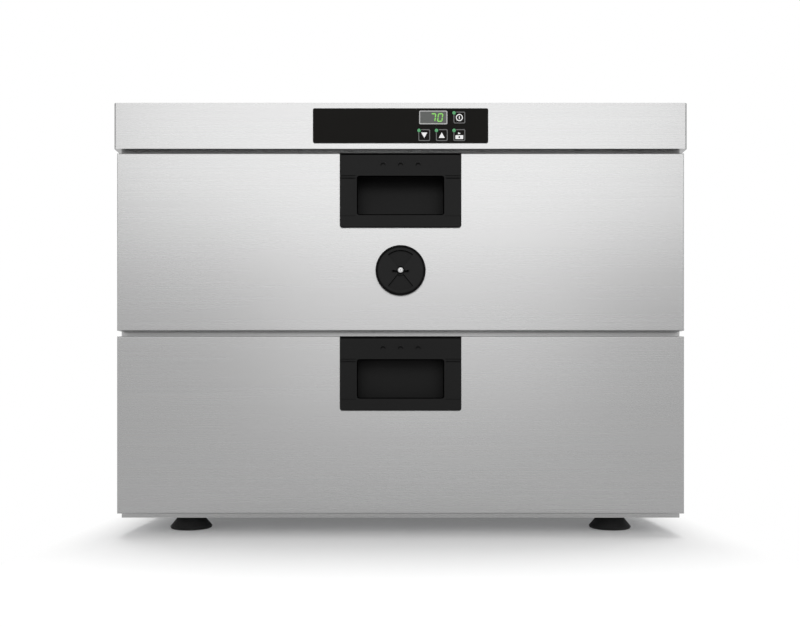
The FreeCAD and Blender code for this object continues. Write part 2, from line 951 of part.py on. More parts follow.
def transformer():
    """The laminated core and the coil wound through it."""
    seat = cap_z + s.sheet
    x = body_half - s.core_inset
    y = frame_back + s.core_setback
    core = block("core", about(s.core_length, x), about(s.core_width, y), (seat, seat + s.core_height))
    middle = seat + s.core_height / 2
    coil = soft_block(
        "coil",
        about(s.coil_length, x),
        about(s.coil_width, y),
        about(s.coil_height, middle),
        s.key_corner,
        (1, 0, 0),
    )
    piece(fused("transformer_unit", [core, coil]), "transformer")


def terminal_block():
    """The strip where the supply joins the wiring, with a row of screw wells."""
    seat = cap_z + s.sheet
    x = s.terminal_inset - body_half
    y = back_y - s.terminal_setback
    top = seat + s.terminal_height
    strip = block("terminal_strip", about(s.terminal_length, x), about(s.terminal_width, y), (seat, top))
    middle = (TERMINAL_COUNT - 1) / 2
    wells = [
        rod(
            f"terminal_well_{i}",
            s.terminal_bore,
            x + (i - middle) * s.terminal_pitch,
            y,
            (top - s.terminal_bore_depth, top + s.overrun),
        )
        for i in range(TERMINAL_COUNT)
    ]
    piece(cut("terminals", strip, wells), "terminal_block")


# Control panel

def key_centre(column, row):
    """The centre of a key from its column and row."""
    x = s.key_column + column * s.key_pitch
    z = panel_z - s.key_drop + (row - 0.5) * s.key_pitch
    return x, z


def light_rod(name, place_of_key, radius, y):
    """A rod at the lamp in a key's upper left corner."""
    x, z = key_centre(*place_of_key)
    return rod(name, radius, x - s.light_side, y, z + s.light_rise, "y")


display_z = panel_z + s.display_rise
board_y = face_y + s.sheet + s.stud_length


def control_panel():
    """The face plate with windows for the display, the keys and their lamps."""
    y = (face_y - s.panel_thick, face_y)
    plate = soft_block("panel_plate", about(s.panel_width), y, about(s.panel_height, panel_z), s.panel_corner)
    through = shrunk(y, -s.overrun)
    windows = [
        soft_block(
            "panel_display_window",
            about(s.display_width, s.display_side),
            through,
            about(s.display_height, display_z),
            s.display_corner,
        )
    ]
    for name, key_place in KEY_PLACES.items():
        x, z = key_centre(*key_place)
        opening = s.key_size + 2 * s.key_play
        windows.append(
            soft_block(f"{name}_window", about(opening, x), through, about(opening, z), s.key_corner)
        )
        windows.append(light_rod(f"{name}_lamp_bore", key_place, s.light_radius + s.light_play, through))
    piece(cut("panel", plate, windows), "control_panel")


def display_window():
    """The lens over the display."""
    lens = soft_block(
        "lens",
        about(s.display_width - 2 * s.display_play, s.display_side),
        (face_y - s.panel_thick, face_y),
        about(s.display_height - 2 * s.display_play, display_z),
        s.display_corner,
    )
    piece(lens, "display_window")


def display_module():
    """The lit figure block behind the lens, standing on the control board."""
    module = block(
        "figures",
        about(s.display_width - 2 * s.module_margin, s.display_side),
        (face_y + s.running_gap, board_y),
        about(s.display_height - s.module_margin, display_z),
    )
    piece(module, "display_module")


def indicator_lights():
    """The lamp at the corner of each key, from the panel's face back to the board."""
    y = (face_y - s.panel_thick - s.light_proud, board_y)
    lamps = [light_rod(f"{name}_lamp", spot, s.light_radius, y) for name, spot in KEY_PLACES.items()]
    piece(group("lamps", lamps), "indicator_lights")


def keys():
    """The four sprung keys, each kept by a flange behind the panel."""
    front = face_y - s.panel_thick - s.key_proud
    flange_y = face_y + s.running_gap
    back = flange_y + s.key_flange_thick
    for name, key_place in KEY_PLACES.items():
        x, z = key_centre(*key_place)
        cap = soft_block(
            f"{name}_cap", about(s.key_size, x), (front, flange_y), about(s.key_size, z), s.key_corner
        )
        wide = s.key_size + 2 * s.key_flange
        flange = soft_block(f"{name}_flange", about(wide, x), (flange_y, back), about(wide, z), s.key_corner)
        notch_right = x - s.light_side + s.light_radius + s.running_gap
        notch_low = z + s.light_rise - s.light_radius - s.running_gap
        notch = block(
            f"{name}_notch",
            (x - s.key_size, notch_right),
            (front - s.overrun, back + s.overrun),
            (notch_low, z + s.key_size),
        )
        piece(cut(f"{name}_solid", fused(f"{name}_blank", [cap, flange]), [notch]), name)


def control_board():
    """The circuit board on its studs, with a switch behind each key and a relay at the rear."""
    y = (board_y, board_y + s.board_thick)
    plate = block("board_plate", about(s.board_width), y, about(s.board_height, panel_z))
    key_back = face_y + s.running_gap + s.key_flange_thick
    parts = [plate]
    for name, key_place in KEY_PLACES.items():
        x, z = key_centre(*key_place)
        switch_y = (key_back + s.key_travel + s.switch_gap - s.running_gap, board_y)
        parts.append(block(f"{name}_switch", about(s.switch_size, x), switch_y, about(s.switch_size, z)))
    relay_y = (y[1], y[1] + s.relay_depth)
    parts.append(
        block("board_relay", about(s.relay_width, -s.key_column), relay_y, about(s.relay_height, panel_z))
    )
    piece(fused("board", parts), "control_board")


# Slides

def channel(name, side, outer, web, flange, half_height, thick, y):
    """A channel section along Y: a web at one depth from the wall and two flanges.

    outer is the depth of the web's face that the wall sees, web is +1 where the flanges
    run away from the wall and -1 where they run back towards it, flange is their reach.
    """

    def across(near, far):
        span = (side * (opening_half - near), side * (opening_half - far))
        return span if side < 0 else span[::-1]

    if web > 0:
        whole = across(outer, outer + flange)
        hollow = across(outer + thick, outer + flange + s.overrun)
    else:
        whole = across(outer - flange, outer)
        hollow = across(outer - flange - s.overrun, outer - thick)
    z = (rail_z[name.split("_")[0]] - half_height, rail_z[name.split("_")[0]] + half_height)
    solid = block(f"{name}_bar", whole, y, z)
    return cut(name, solid, [block(f"{name}_hollow", hollow, shrunk(y, -s.overrun), shrunk(z, thick))])


def rim_z(drawer_z):
    """The height of the pan frame's top face in a drawer."""
    return opening_z(drawer_z)[1] - s.pan_drop


rail_z = {"lower": rim_z(lower_z) - s.rail_below_rim, "upper": rim_z(upper_z) - s.rail_below_rim}


def slides(drawer):
    """The fixed, middle and drawer rails of one drawer, nested with a running gap."""
    y = (rail_front, rail_front + tray_depth + s.rail_overhang)
    step = s.rail_sheet + s.rail_gap
    reach = s.rail_depth - step
    half = s.rail_height / 2
    sets = {
        "outer": (0, 1, reach, half),
        "middle": (step, 1, reach - step, half - step),
        "inner": (s.rail_depth, -1, s.rail_depth - 2 * step, half - 2 * step),
    }
    for name, (outer, web, flange, half_height) in sets.items():
        pair = [
            channel(f"{drawer}_{name}_{side_name}", side, outer, web, flange, half_height, s.rail_sheet, y)
            for side_name, side in SIDES.items()
        ]
        piece(group(f"{drawer}_{name}_pair", pair), f"{drawer}_{name}_rails")


# Drawers

vent_z = upper_z + s.front_height - s.vent_drop


def front_hollow(drawer_z):
    """The spans inside a drawer front's folded skin."""
    x = shrunk((-front_half, front_half), s.sheet)
    z = shrunk((drawer_z, drawer_z + s.front_height), s.sheet)
    return x, z


def plug_spans(drawer_z):
    """The spans of the raised part of the inner panel, which enters the frame's opening."""
    return shrunk(opening_x, s.plug_gap), shrunk(opening_z(drawer_z), s.plug_gap)


def recess_spans(drawer_z):
    """The spans of a handle's finger recess."""
    top = drawer_z + s.front_height - s.recess_drop
    return about(s.recess_width), (top - s.recess_height, top)


def handle_box(drawer_z):
    """The spans of the box behind a handle's plate, round the recess and its undercut."""
    x, z = recess_spans(drawer_z)
    y = (face_y, face_y - s.handle_proud + s.recess_depth + s.handle_wall)
    return shrunk(x, -s.handle_wall), y, (z[0] - s.handle_wall, z[1] + s.recess_undercut + s.handle_wall)


def vent_bore(name, y):
    """A rod that clears the vent's sleeve."""
    return rod(name, s.vent_sleeve_radius + s.screw_play, 0, y, vent_z, "y")


def drawer_front(drawer, drawer_z):
    """The folded outer skin of a drawer front."""
    y = (face_y, face_y + s.front_depth)
    z = (drawer_z, drawer_z + s.front_height)
    blank = block(f"{drawer}_skin_blank", (-front_half, front_half), y, z)

    def on_the_face(edge):
        return edge.BoundBox.YMax < face_y.value + s.front_corner.value

    skin = rounded(f"{drawer}_skin", blank, s.front_corner, on_the_face)
    hollow_x, hollow_z = front_hollow(drawer_z)
    tools = [block(f"{drawer}_skin_hollow", hollow_x, (face_y + s.sheet, y[1] + s.overrun), hollow_z)]
    box_x, _, box_z = handle_box(drawer_z)
    tools.append(block(f"{drawer}_skin_window", box_x, shrunk(y, -s.overrun), box_z))
    if drawer == "upper":
        tools.append(vent_bore("skin_vent_bore", shrunk(y, -s.overrun)))
    piece(cut(f"{drawer}_front_skin", skin, tools), f"{drawer}_drawer_front")


def inner_panel(drawer, drawer_z):
    """The sheet that closes a drawer front's back, raised where it enters the opening."""
    back = face_y + s.front_depth
    hollow_x, hollow_z = front_hollow(drawer_z)
    plug_x, plug_z = plug_spans(drawer_z)
    inner_face = back - s.liner_sheet
    flat = block(f"{drawer}_inner_flat", hollow_x, (inner_face, back), hollow_z)
    raised = soft_block(f"{drawer}_inner_raised", plug_x, (inner_face, plug_back), plug_z, s.opening_corner)
    hollow = block(
        f"{drawer}_inner_hollow",
        shrunk(plug_x, s.liner_sheet),
        (back - s.overrun, plug_back - s.liner_sheet),
        shrunk(plug_z, s.liner_sheet),
    )
    tools = [hollow]
    if drawer == "upper":
        tools.append(vent_bore("inner_vent_bore", (back, plug_back + s.overrun)))
    panel = fused(f"{drawer}_inner_sheet", [flat, raised])
    piece(cut(f"{drawer}_inner", panel, tools), f"{drawer}_inner_panel")


def front_insulation(drawer, drawer_z):
    """The wool inside a drawer front, round the handle's box."""
    back = face_y + s.front_depth
    hollow_x, hollow_z = front_hollow(drawer_z)
    plug_x, plug_z = plug_spans(drawer_z)
    wide = block(f"{drawer}_wool_wide", hollow_x, (face_y + s.sheet, back - s.liner_sheet), hollow_z)
    narrow = block(
        f"{drawer}_wool_narrow",
        shrunk(plug_x, s.opening_corner),
        (back - s.liner_sheet, plug_back - s.liner_sheet),
        shrunk(plug_z, s.opening_corner),
    )
    box_x, box_y, box_z = handle_box(drawer_z)
    tools = [block(f"{drawer}_wool_window", box_x, (box_y[0] - s.overrun, box_y[1]), box_z)]
    if drawer == "upper":
        tools.append(vent_bore("wool_vent_bore", (face_y - s.overrun, plug_back + s.overrun)))
    wool = fused(f"{drawer}_wool", [wide, narrow])
    piece(cut(f"{drawer}_wool_fill", wool, tools), f"{drawer}_front_insulation")


def gasket(drawer, drawer_z):
    """The seal round a drawer front's raised part, a running gap short of the frame."""
    y = (face_y + s.front_depth, face_y + s.front_depth + s.gasket_thick)
    inner_x = shrunk(opening_x, -s.gasket_margin)
    inner_z = shrunk(opening_z(drawer_z), -s.gasket_margin)
    ring = soft_block(
        f"{drawer}_gasket_ring",
        shrunk(inner_x, -s.gasket_width),
        y,
        shrunk(inner_z, -s.gasket_width),
        s.opening_corner + s.gasket_width,
    )
    hole = soft_block(f"{drawer}_gasket_hole", inner_x, shrunk(y, -s.overrun), inner_z, s.opening_corner)
    piece(cut(f"{drawer}_gasket_seal", ring, [hole]), f"{drawer}_gasket")


def plug_cap_places(drawer_z):
    """The centres of the three screw caps over a handle's recess."""
    z = drawer_z + s.front_height - s.plug_cap_drop
    return [(column * s.plug_cap_pitch, z) for column in PLUG_CAP_COLUMNS]


def handle(drawer, drawer_z):
    """The moulded plate, its box, and the finger recess with an undercut behind its upper lip."""
    top = drawer_z + s.front_height
    recess_x, recess_z = recess_spans(drawer_z)
    front = face_y - s.handle_proud
    body = doc.addObject("PartDesign::Body", f"{drawer}_handle_body")
    plate = sketch_on(body, "XZ_Plane", f"{drawer}_handle_outline")
    rectangle(plate, about(s.handle_width), (top - s.handle_height, top))
    pad(body, plate, s.handle_proud, f"{drawer}_handle_plate", True)
    _, box_y, box_z = handle_box(drawer_z)
    box = sketch_on(body, "XZ_Plane", f"{drawer}_handle_box_outline")
    rectangle(box, shrunk(recess_x, -s.handle_wall), box_z)
    blank = pad(body, box, box_y[1] - front, f"{drawer}_handle_box", True)

    def lower_corner(edge):
        low = abs(edge.BoundBox.ZMax - (top - s.handle_height).value) < s.handle_edge.value
        wide = abs(abs(edge.CenterOfMass.x) - s.handle_width.value / 2) < s.handle_edge.value
        return runs_along(edge, (0, 1, 0)) and low and wide

    def on_the_face(edge):
        return edge.BoundBox.YMax < s.handle_edge.value

    def recess_corner(edge):
        across = abs(abs(edge.CenterOfMass.x) - s.recess_width.value / 2) < s.handle_edge.value
        return runs_along(edge, (0, 1, 0)) and across and edge.BoundBox.YMin < s.handle_edge.value

    corners = edged(body, blank, s.handle_corner, lower_corner, f"{drawer}_handle_corners")
    edged(body, corners, s.handle_edge, on_the_face, f"{drawer}_handle_edges", "Chamfer")
    recess = sketch_on(body, "XZ_Plane", f"{drawer}_recess_outline")
    rectangle(recess, recess_x, recess_z)
    hollow = pocket(body, recess, s.recess_depth, f"{drawer}_recess", False)
    edged(body, hollow, s.recess_corner, recess_corner, f"{drawer}_recess_corners")
    place(body, 0, front, 0)

    behind = (front + s.recess_lip, front + s.recess_depth)
    above = (recess_z[1] - s.overrun, recess_z[1] + s.recess_undercut)
    undercut = block(f"{drawer}_undercut", recess_x, behind, above)
    bands = []
    for name, side in SIDES.items():
        reach = (side * (s.recess_width / 2 + s.handle_wall), side * (s.handle_width / 2 + s.overrun))
        reach = reach if side > 0 else reach[::-1]
        for step, band_top in ((1, recess_z[1]), (2, recess_z[1] - s.band_bevel)):
            sunk = (front - s.overrun, front + step * s.band_step)
            bands.append(block(f"{drawer}_{name}_band_{step}", reach, sunk, (recess_z[0], band_top)))
    well_y = (front - s.overrun, front + s.plug_cap_depth)
    wells = [
        rod(f"{drawer}_cap_well_{i}", s.plug_cap_radius, x, well_y, z, "y")
        for i, (x, z) in enumerate(plug_cap_places(drawer_z))
    ]
    piece(cut(f"{drawer}_handle_shell", body, [undercut] + bands + wells), f"{drawer}_handle")


def handle_caps(drawer, drawer_z):
    """The three small caps over the handle's screws."""
    front = face_y - s.handle_proud
    y = (front + s.plug_cap_sink, front + s.plug_cap_depth)
    caps = [
        rod(f"{drawer}_cap_{i}", s.plug_cap_radius, x, y, z, "y")
        for i, (x, z) in enumerate(plug_cap_places(drawer_z))
    ]
    piece(group(f"{drawer}_caps", caps), f"{drawer}_handle_caps")


def pan_y():
    """The depth place of a pan's middle."""
    return plug_back + tray_depth / 2


def pan_frame(drawer, drawer_z):
    """The folded frame between the slides, with a rounded opening that carries the pan."""
    top = rim_z(drawer_z)
    x = about(2 * tray_half)
    y = (plug_back, plug_back + tray_depth)
    foot = top - s.rail_height
    tray = block(f"{drawer}_frame_blank", x, y, (foot, top))
    inside_z = (foot - s.overrun, top - s.sheet)
    inside = block(f"{drawer}_frame_inside", shrunk(x, s.sheet), shrunk(y, s.sheet), inside_z)
    opening = soft_block(
        f"{drawer}_frame_opening",
        about(s.pan_length - 2 * s.pan_rim + 2 * s.pan_play),
        about(s.pan_width - 2 * s.pan_rim + 2 * s.pan_play, pan_y()),
        (top - s.sheet - s.overrun, top + s.overrun),
        s.pan_corner,
        (0, 0, 1),
    )
    piece(cut(f"{drawer}_frame", tray, [inside, opening]), f"{drawer}_pan_frame")


def rounded_wire(length, width, radius, centre_y, z):
    """A flat rounded rectangle as a closed wire."""
    half_x = length / 2 - radius
    half_y = width / 2 - radius
    edges = []
    for i in range(4):
        turn = math.radians(90 * i)
        across = half_x if i % 2 == 0 else half_y
        along = half_y if i % 2 == 0 else half_x
        out = FreeCAD.Vector(math.cos(turn), math.sin(turn), 0)
        side = FreeCAD.Vector(-math.sin(turn), math.cos(turn), 0)
        origin = FreeCAD.Vector(0, centre_y, z)
        start = origin + out * (across + radius) - side * along
        end = origin + out * (across + radius) + side * along
        corner = origin + out * across + side * along
        middle = corner + (out + side) * (radius / math.sqrt(2))
        far = corner + side * radius
        edges.append(Part.makeLine(start, end))
        edges.append(Part.Arc(end, middle, far).toShape())
    return Part.Wire(edges)


def pan_body(inset, top, floor):
    """A tapered pan-shaped solid, drawn in by an inset, from its top to its floor."""
    length = (s.pan_length - 2 * s.pan_rim).value - 2 * inset
    width = (s.pan_width - 2 * s.pan_rim).value - 2 * inset
    taper = s.pan_taper.value
    bevel = s.pan_bevel.value
    centre = pan_y().value
    radius = s.pan_corner.value - inset
    levels = [
        (length, width, radius, top),
        (length - taper, width - taper, radius - taper / 2, floor + bevel),
        (length - taper - 2 * bevel, width - taper - 2 * bevel, radius - taper / 2 - bevel, floor),
    ]
    wires = [rounded_wire(*level[:3], centre, level[3]) for level in levels]
    return Part.makeLoft(wires, True, True)


def food_pan(drawer, drawer_z):
    """A pressed pan: tapered walls, a bevelled foot and a flat rim that rests on the frame."""
    seat = rim_z(drawer_z).value
    gauge = s.pan_sheet.value
    floor = seat - s.pan_depth.value
    outer = pan_body(0, seat, floor)
    reach = (s.pan_length.value, s.pan_width.value, s.pan_rim_corner.value)
    rim_wire = rounded_wire(*reach, pan_y().value, seat)
    rim = Part.Face(rim_wire).extrude(FreeCAD.Vector(0, 0, gauge))
    inner = pan_body(gauge, seat, floor + gauge)
    mouth_wire = rounded_wire(
        (s.pan_length - 2 * s.pan_rim - 2 * s.pan_sheet).value,
        (s.pan_width - 2 * s.pan_rim - 2 * s.pan_sheet).value,
        (s.pan_corner - s.pan_sheet).value,
        pan_y().value,
        seat,
    )
    mouth = Part.Face(mouth_wire).extrude(FreeCAD.Vector(0, 0, gauge + s.overrun.value))
    pan = doc.addObject("Part::Feature", f"{drawer}_pan")
    pan.Shape = outer.fuse(rim).cut(inner.fuse(mouth)).removeSplitter()
    piece(pan, f"{drawer}_food_pan")


# Vent on the upper drawer

def vent_seat():
    """The fixed dish with its ring, ports left and right and the sleeve through the wool."""
    ring_inner = s.vent_radius - s.vent_ring
    sleeve_inner = s.vent_sleeve_radius - s.vent_sleeve_wall
    points = [
        (s.rivet_radius + s.rivet_play, -s.vent_floor),
        (ring_inner, -s.vent_floor),
        (ring_inner, -s.vent_proud),
        (s.vent_radius - s.vent_ring / 3, -s.vent_proud),
        (s.vent_radius, -s.vent_proud + s.vent_ring / 3),
        (s.vent_radius, 0),
        (s.vent_sleeve_radius, 0),
        (s.vent_sleeve_radius, plug_back - face_y),
        (sleeve_inner, plug_back - face_y),
        (sleeve_inner, 0),
        (s.rivet_radius + s.rivet_play, 0),
    ]
    dish = revolved("vent_dish", points, 0, face_y, vent_z, "XY_Plane")
    through = (face_y - s.vent_floor - s.overrun, face_y + s.overrun)
    ports = vent_ports("seat", (0, 180), through, sleeve_inner)
    piece(cut("vent_seat_solid", dish, ports), "vent_seat")


def vent_ports(name, middles, y, outer):
    """Two wedge-shaped ports about the vent's centre."""
    ports = []
    for i, middle in enumerate(middles):
        wedge = sector(f"{name}_wedge_{i}", outer, s.vent_port_angle, middle, y)
        core = rod(f"{name}_core_{i}", s.vent_port_inner, 0, shrunk(y, -s.overrun), vent_z, "y")
        ports.append(cut(f"{name}_port_{i}", wedge, [core]))
    return ports


vent_back_y = face_y - s.vent_floor - s.running_gap
vent_front_y = vent_back_y - s.vent_disc_thick


def vent_disc():
    """The turning disc with ports above and below and a finger grip across its hub."""
    radius = s.vent_radius - s.vent_ring - s.rail_gap
    plate = rod("vent_plate", radius, 0, (vent_front_y, vent_back_y), vent_z, "y")
    raised = (vent_front_y - s.grip_proud, vent_front_y)
    hub = rod("vent_hub", s.hub_radius, 0, raised, vent_z, "y")
    end = GRIP_END_SHARE * s.grip_height
    grip = soft_block("vent_grip", about(s.grip_length), raised, about(s.grip_height, vent_z), end)
    bore_y = (raised[0] - s.overrun, vent_back_y + s.overrun)
    bore = rod("vent_disc_bore", s.rivet_radius, 0, bore_y, vent_z, "y")
    port_y = (vent_front_y - s.running_gap, vent_back_y + s.overrun)
    ports = vent_ports("disc", (90, 270), port_y, s.vent_port_outer)
    piece(cut("vent_disc_solid", fused("vent_blank", [plate, grip, hub]), ports + [bore]), "vent_disc")


def vent_rivet():
    """The pin that the disc turns on, headed in front and flared behind the seat."""
    seat = vent_front_y - s.grip_proud - face_y
    dome = [
        (share * s.rivet_head, seat - height * s.rivet_head_height)
        for share, height in RIVET_DOME_SHARES
    ]
    tail = s.running_gap + s.rivet_head_height
    points = dome + [
        (s.rivet_head, seat),
        (s.rivet_radius, seat),
        (s.rivet_radius, s.running_gap),
        (s.rivet_head, s.running_gap),
        (s.rivet_head, tail),
        (0, tail),
    ]
    piece(revolved("vent_rivet", points, 0, face_y, vent_z, "XY_Plane"), "vent_rivet")


def build():
    """Makes every sub-part."""
    top_cap()
    side_panels()
    back_panel()
    base_pan()
    front_frame()
    chamber_liner()
    insulation_blanket()
    compartment_floor()
    feet()
    foot_screws()
    case_screws()
    cable_gland()
    heating_element()
    element_brackets()
    temperature_probe()
    safety_thermostat()
    transformer()
    terminal_block()
    control_panel()
    display_window()
    display_module()
    indicator_lights()
    keys()
    control_board()
    for drawer, drawer_z in (("upper", upper_z), ("lower", lower_z)):
        slides(drawer)
        drawer_front(drawer, drawer_z)
        inner_panel(drawer, drawer_z)
        front_insulation(drawer, drawer_z)
        gasket(drawer, drawer_z)
        handle(drawer, drawer_z)
        handle_caps(drawer, drawer_z)
        pan_frame(drawer, drawer_z)
        food_pan(drawer, drawer_z)
    vent_seat()
    vent_disc()
    vent_rivet()


def write():
    """Checks every object and writes each sub-part to its file."""
    doc.recompute()
    failed = [thing.Label for thing in doc.Objects if {"Invalid", "Error"} & set(thing.State)]
    failed += [thing.Label for thing in pieces if thing.Shape.isNull() or not thing.Shape.isValid()]
    if failed:
        sys.exit("These did not build: " + ", ".join(failed))
    os.makedirs("parts", exist_ok=True)
    for thing in pieces:
        thing.Shape.exportStep(f"parts/{thing.Label}.step")
        print(f"{thing.Label}: {len(thing.Shape.Solids)} solid(s), {thing.Shape.Volume / 1000:.2f} cm3")


build()
write()
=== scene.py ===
"""Warming drawer: finishes, printed marks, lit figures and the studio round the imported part.

All sizes are in metres. +X is to the right of someone facing the drawers, +Y goes into the
cabinet and +Z is up. The origin lies on the floor below the middle of the cabinet.
"""

import math

import bmesh
import bpy
import numpy as np
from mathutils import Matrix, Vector


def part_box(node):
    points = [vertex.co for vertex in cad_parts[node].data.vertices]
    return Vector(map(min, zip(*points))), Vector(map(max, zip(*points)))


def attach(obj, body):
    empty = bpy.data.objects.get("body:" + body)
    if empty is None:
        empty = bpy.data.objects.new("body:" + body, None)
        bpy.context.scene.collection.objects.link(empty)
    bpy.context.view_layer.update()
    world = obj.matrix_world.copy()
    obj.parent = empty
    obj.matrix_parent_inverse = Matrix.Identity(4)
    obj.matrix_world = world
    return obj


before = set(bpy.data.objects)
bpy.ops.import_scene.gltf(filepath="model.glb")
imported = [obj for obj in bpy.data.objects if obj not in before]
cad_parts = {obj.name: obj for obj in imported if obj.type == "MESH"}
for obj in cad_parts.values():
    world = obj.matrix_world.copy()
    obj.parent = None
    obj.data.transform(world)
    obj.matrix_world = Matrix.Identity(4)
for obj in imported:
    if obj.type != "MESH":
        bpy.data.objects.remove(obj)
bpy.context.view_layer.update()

bl_info = {
    "name": "Warming drawer looks",
    "version": (1, 0, 0),
    "blender": (4, 5, 0),
    "location": "View3D > Sidebar > Drawer",
    "description": "Finishes and small trim of a two-drawer warming cabinet",
    "category": "Object",
}

KEYS = ("power_key", "down_key", "up_key", "start_key")
MM = 0.001
# Where a mark's soft rim starts and how far it leans in, as shares of the mark's relief.
RIM_START, RIM_LEAN = 0.7, 0.35
# A raised line's section: how far across it a point lies, and its share of the relief.
SHOULDERS = ((0, 0), (0, RIM_START), (0.12, 1), (0.88, 1), (1, RIM_START), (1, 0))

# Printed shapes, and the grip's wing of painted shade, in millimetres from the middle of their key
# or of the vent: outlines, the width, height and corner of boxes, the outer and inner radius of
# the ring, and places.
DOWN_ARROW = ((-3.5, 3.0), (3.5, 3.0), (0, -3.2))
UP_ARROW = ((-3.5, -3.2), (3.5, -3.2), (0, 3.0))
PLAY_ARROW = ((-1.3, -1.2), (-1.3, 1.2), (1.5, 0))
# Half of the grip's dark wing: painted shade under the grip bar.
GRIP_WING_SHADE = ((4.2, -2.1), (9.0, -2.0), (9.6, -0.8), (8.8, 0.2), (6.4, -0.4), (4.2, -0.6))
POWER_BAR = (1.1, 3.4, 0.4)
STOP_BLOCK = (8.8, 4.3, 0.5)
STOP_SQUARE = (1.9, 1.9, 0.2)
POWER_RING = (4.0, 3.0)
PLAY_PLACE = (0, 2.0)
STOP_PLACE = (0, -2.3)

# Bars of a figure, between two corners of a box that is 1 wide and 1 high.
BARS = {
    "a": ((0, 1), (1, 1)), "b": ((1, 1), (1, 0.5)), "c": ((1, 0.5), (1, 0)),
    "d": ((0, 0), (1, 0)), "e": ((0, 0), (0, 0.5)), "f": ((0, 0.5), (0, 1)),
}
# The lit bars of each figure, and how far right it stands as a share of its height.
FIGURES = (("abc", -0.16575), ("abcdef", 0.65325))
# A figure's width and slant as shares of its height, and what its bars leave of the height.
FIGURE_WIDTH, FIGURE_SLANT, FIGURE_TRIM = 0.5, 0.13, 1.3 * MM
# The gap and the taper at a bar's ends, as shares of half its width.
BAR_GAP, BAR_TAPER = 0.22, 0.8
# The radius of a lamp's lens and of its bright heart, as shares of the lamp's, and where the
# heart starts and how far it rises, as shares of the lens's rise.
LENS_RADIUS, HEART_RADIUS, HEART_START, HEART_RISE = 0.98, 0.45, 0.9, 0.14

# The size and place of each soft box, and the point that all of them face.
FRONT_BOX = ((3.0, 1.05), (0.04, -3.1, 1.38))
LOW_BOX = ((1.4, 0.9), (0.10, -3.1, 0.55))
TOP_BOX = ((3.2, 1.2), (0.1, 0.5, 2.9))
SHEEN_BOX = ((3.2, 1.2), (0.1, 0.5, 2.8))
AIM = (0.0, 0.0, 0.25)
FLOOR_RADIUS = 6


# Shader values


class Val:
    """A socket in a finish's node tree. Python sums on it add Math nodes."""

    def __init__(self, finish, socket):
        self.finish = finish
        self.socket = socket

    def _math(self, operation, *terms):
        return self.finish.node("ShaderNodeMath", {"operation": operation}, dict(enumerate(terms)))

    def __add__(self, other):
        return self._math("ADD", self, other)

    def __radd__(self, other):
        return self._math("ADD", other, self)

    def __sub__(self, other):
        return self._math("SUBTRACT", self, other)

    def __rsub__(self, other):
        return self._math("SUBTRACT", other, self)

    def __mul__(self, other):
        return self._math("MULTIPLY", self, other)

    def __rmul__(self, other):
        return self._math("MULTIPLY", other, self)

    def over(self, limit):
        """1 where the value is above the limit, else 0."""
        return self._math("GREATER_THAN", self, limit)

    def size(self):
        """The value without its sign."""
        return self._math("ABSOLUTE", self)

    def larger(self, other):
        """The larger of two values."""
        return self._math("MAXIMUM", self, other)


class Shading:
    """A node tree whose nodes come from one method."""

    def __init__(self, tree, coordinates):
        self.tree = tree
        self.tree.nodes.clear()
        self.place = self.node("ShaderNodeTexCoord", {}, {}, coordinates)

    def node(self, kind, settings, inputs, out=0):
        """Adds a node: its settings first, then the values or links of its sockets. Stops are
        a ramp's positions with their colours."""
        made = self.tree.nodes.new(kind)
        for key, value in settings.items():
            if key == "stops":
                ramp = made.color_ramp
                while len(ramp.elements) < len(value):
                    ramp.elements.new(0.5)
                for element, (position, colour) in zip(ramp.elements, value):
                    element.position = position
                    element.color = (*colour, 1)
            else:
                setattr(made, key, value)
        for key, value in inputs.items():
            self.feed(made.inputs[key], value)
        return Val(self, made.outputs[out])

    def feed(self, socket, value):
        """Links a shader value to a socket, or sets the socket's own value."""
        if isinstance(value, Val):
            self.tree.links.new(value.socket, socket)
        elif isinstance(value, tuple) and len(value) == 3 and socket.type == "RGBA":
            socket.default_value = (*value, 1)
        else:
            socket.default_value = value

    def scaled(self, factors):
        """The place on the surface with each part multiplied by its own factor."""
        settings = {"operation": "MULTIPLY"}
        return self.node("ShaderNodeVectorMath", settings, {0: self.place, 1: factors})

    def noise(self, vector=None, scale=1.0, detail=2.0, roughness=0.5):
        """Smooth noise between about 0.3 and 0.7."""
        inputs = {"Scale": scale, "Detail": detail, "Roughness": roughness}
        inputs["Vector"] = vector or self.place
        return self.node("ShaderNodeTexNoise", {}, inputs, "Fac")

    def cells(self, scale, out="Distance"):
        """Cells of random shape: the distance to the nearest centre, or a colour per cell."""
        return self.node("ShaderNodeTexVoronoi", {}, {"Vector": self.place, "Scale": scale}, out)

    def blend(self, factor, low, high):
        """A colour between two, by a factor."""
        return self.node("ShaderNodeMix", {"data_type": "RGBA"}, {0: factor, 6: low, 7: high}, 2)

    def spread(self, value, low, high):
        """The value's range stretched from low..high to 0..1, and held there."""
        inputs = {"Value": value, "From Min": low, "From Max": high}
        return self.node("ShaderNodeMapRange", {"clamp": True}, inputs)

    def part(self, vector, axis):
        """One part of a vector, 0 for X, 1 for Y, 2 for Z."""
        return self.node("ShaderNodeSeparateXYZ", {}, {0: vector}, axis)

    def facing(self, axis):
        """The size of the surface normal's part along an axis."""
        return self.part(self.node("ShaderNodeNewGeometry", {}, {}, "Normal"), axis).size()

    def seen(self):
        """1 for what is looked at directly, in a reflection or through glass, else 0."""
        path = self.tree.nodes.new("ShaderNodeLightPath")
        kinds = ("Camera", "Glossy", "Transmission")
        direct, mirrored, through = (Val(self, path.outputs[f"Is {kind} Ray"]) for kind in kinds)
        return direct.larger(mirrored).larger(through)


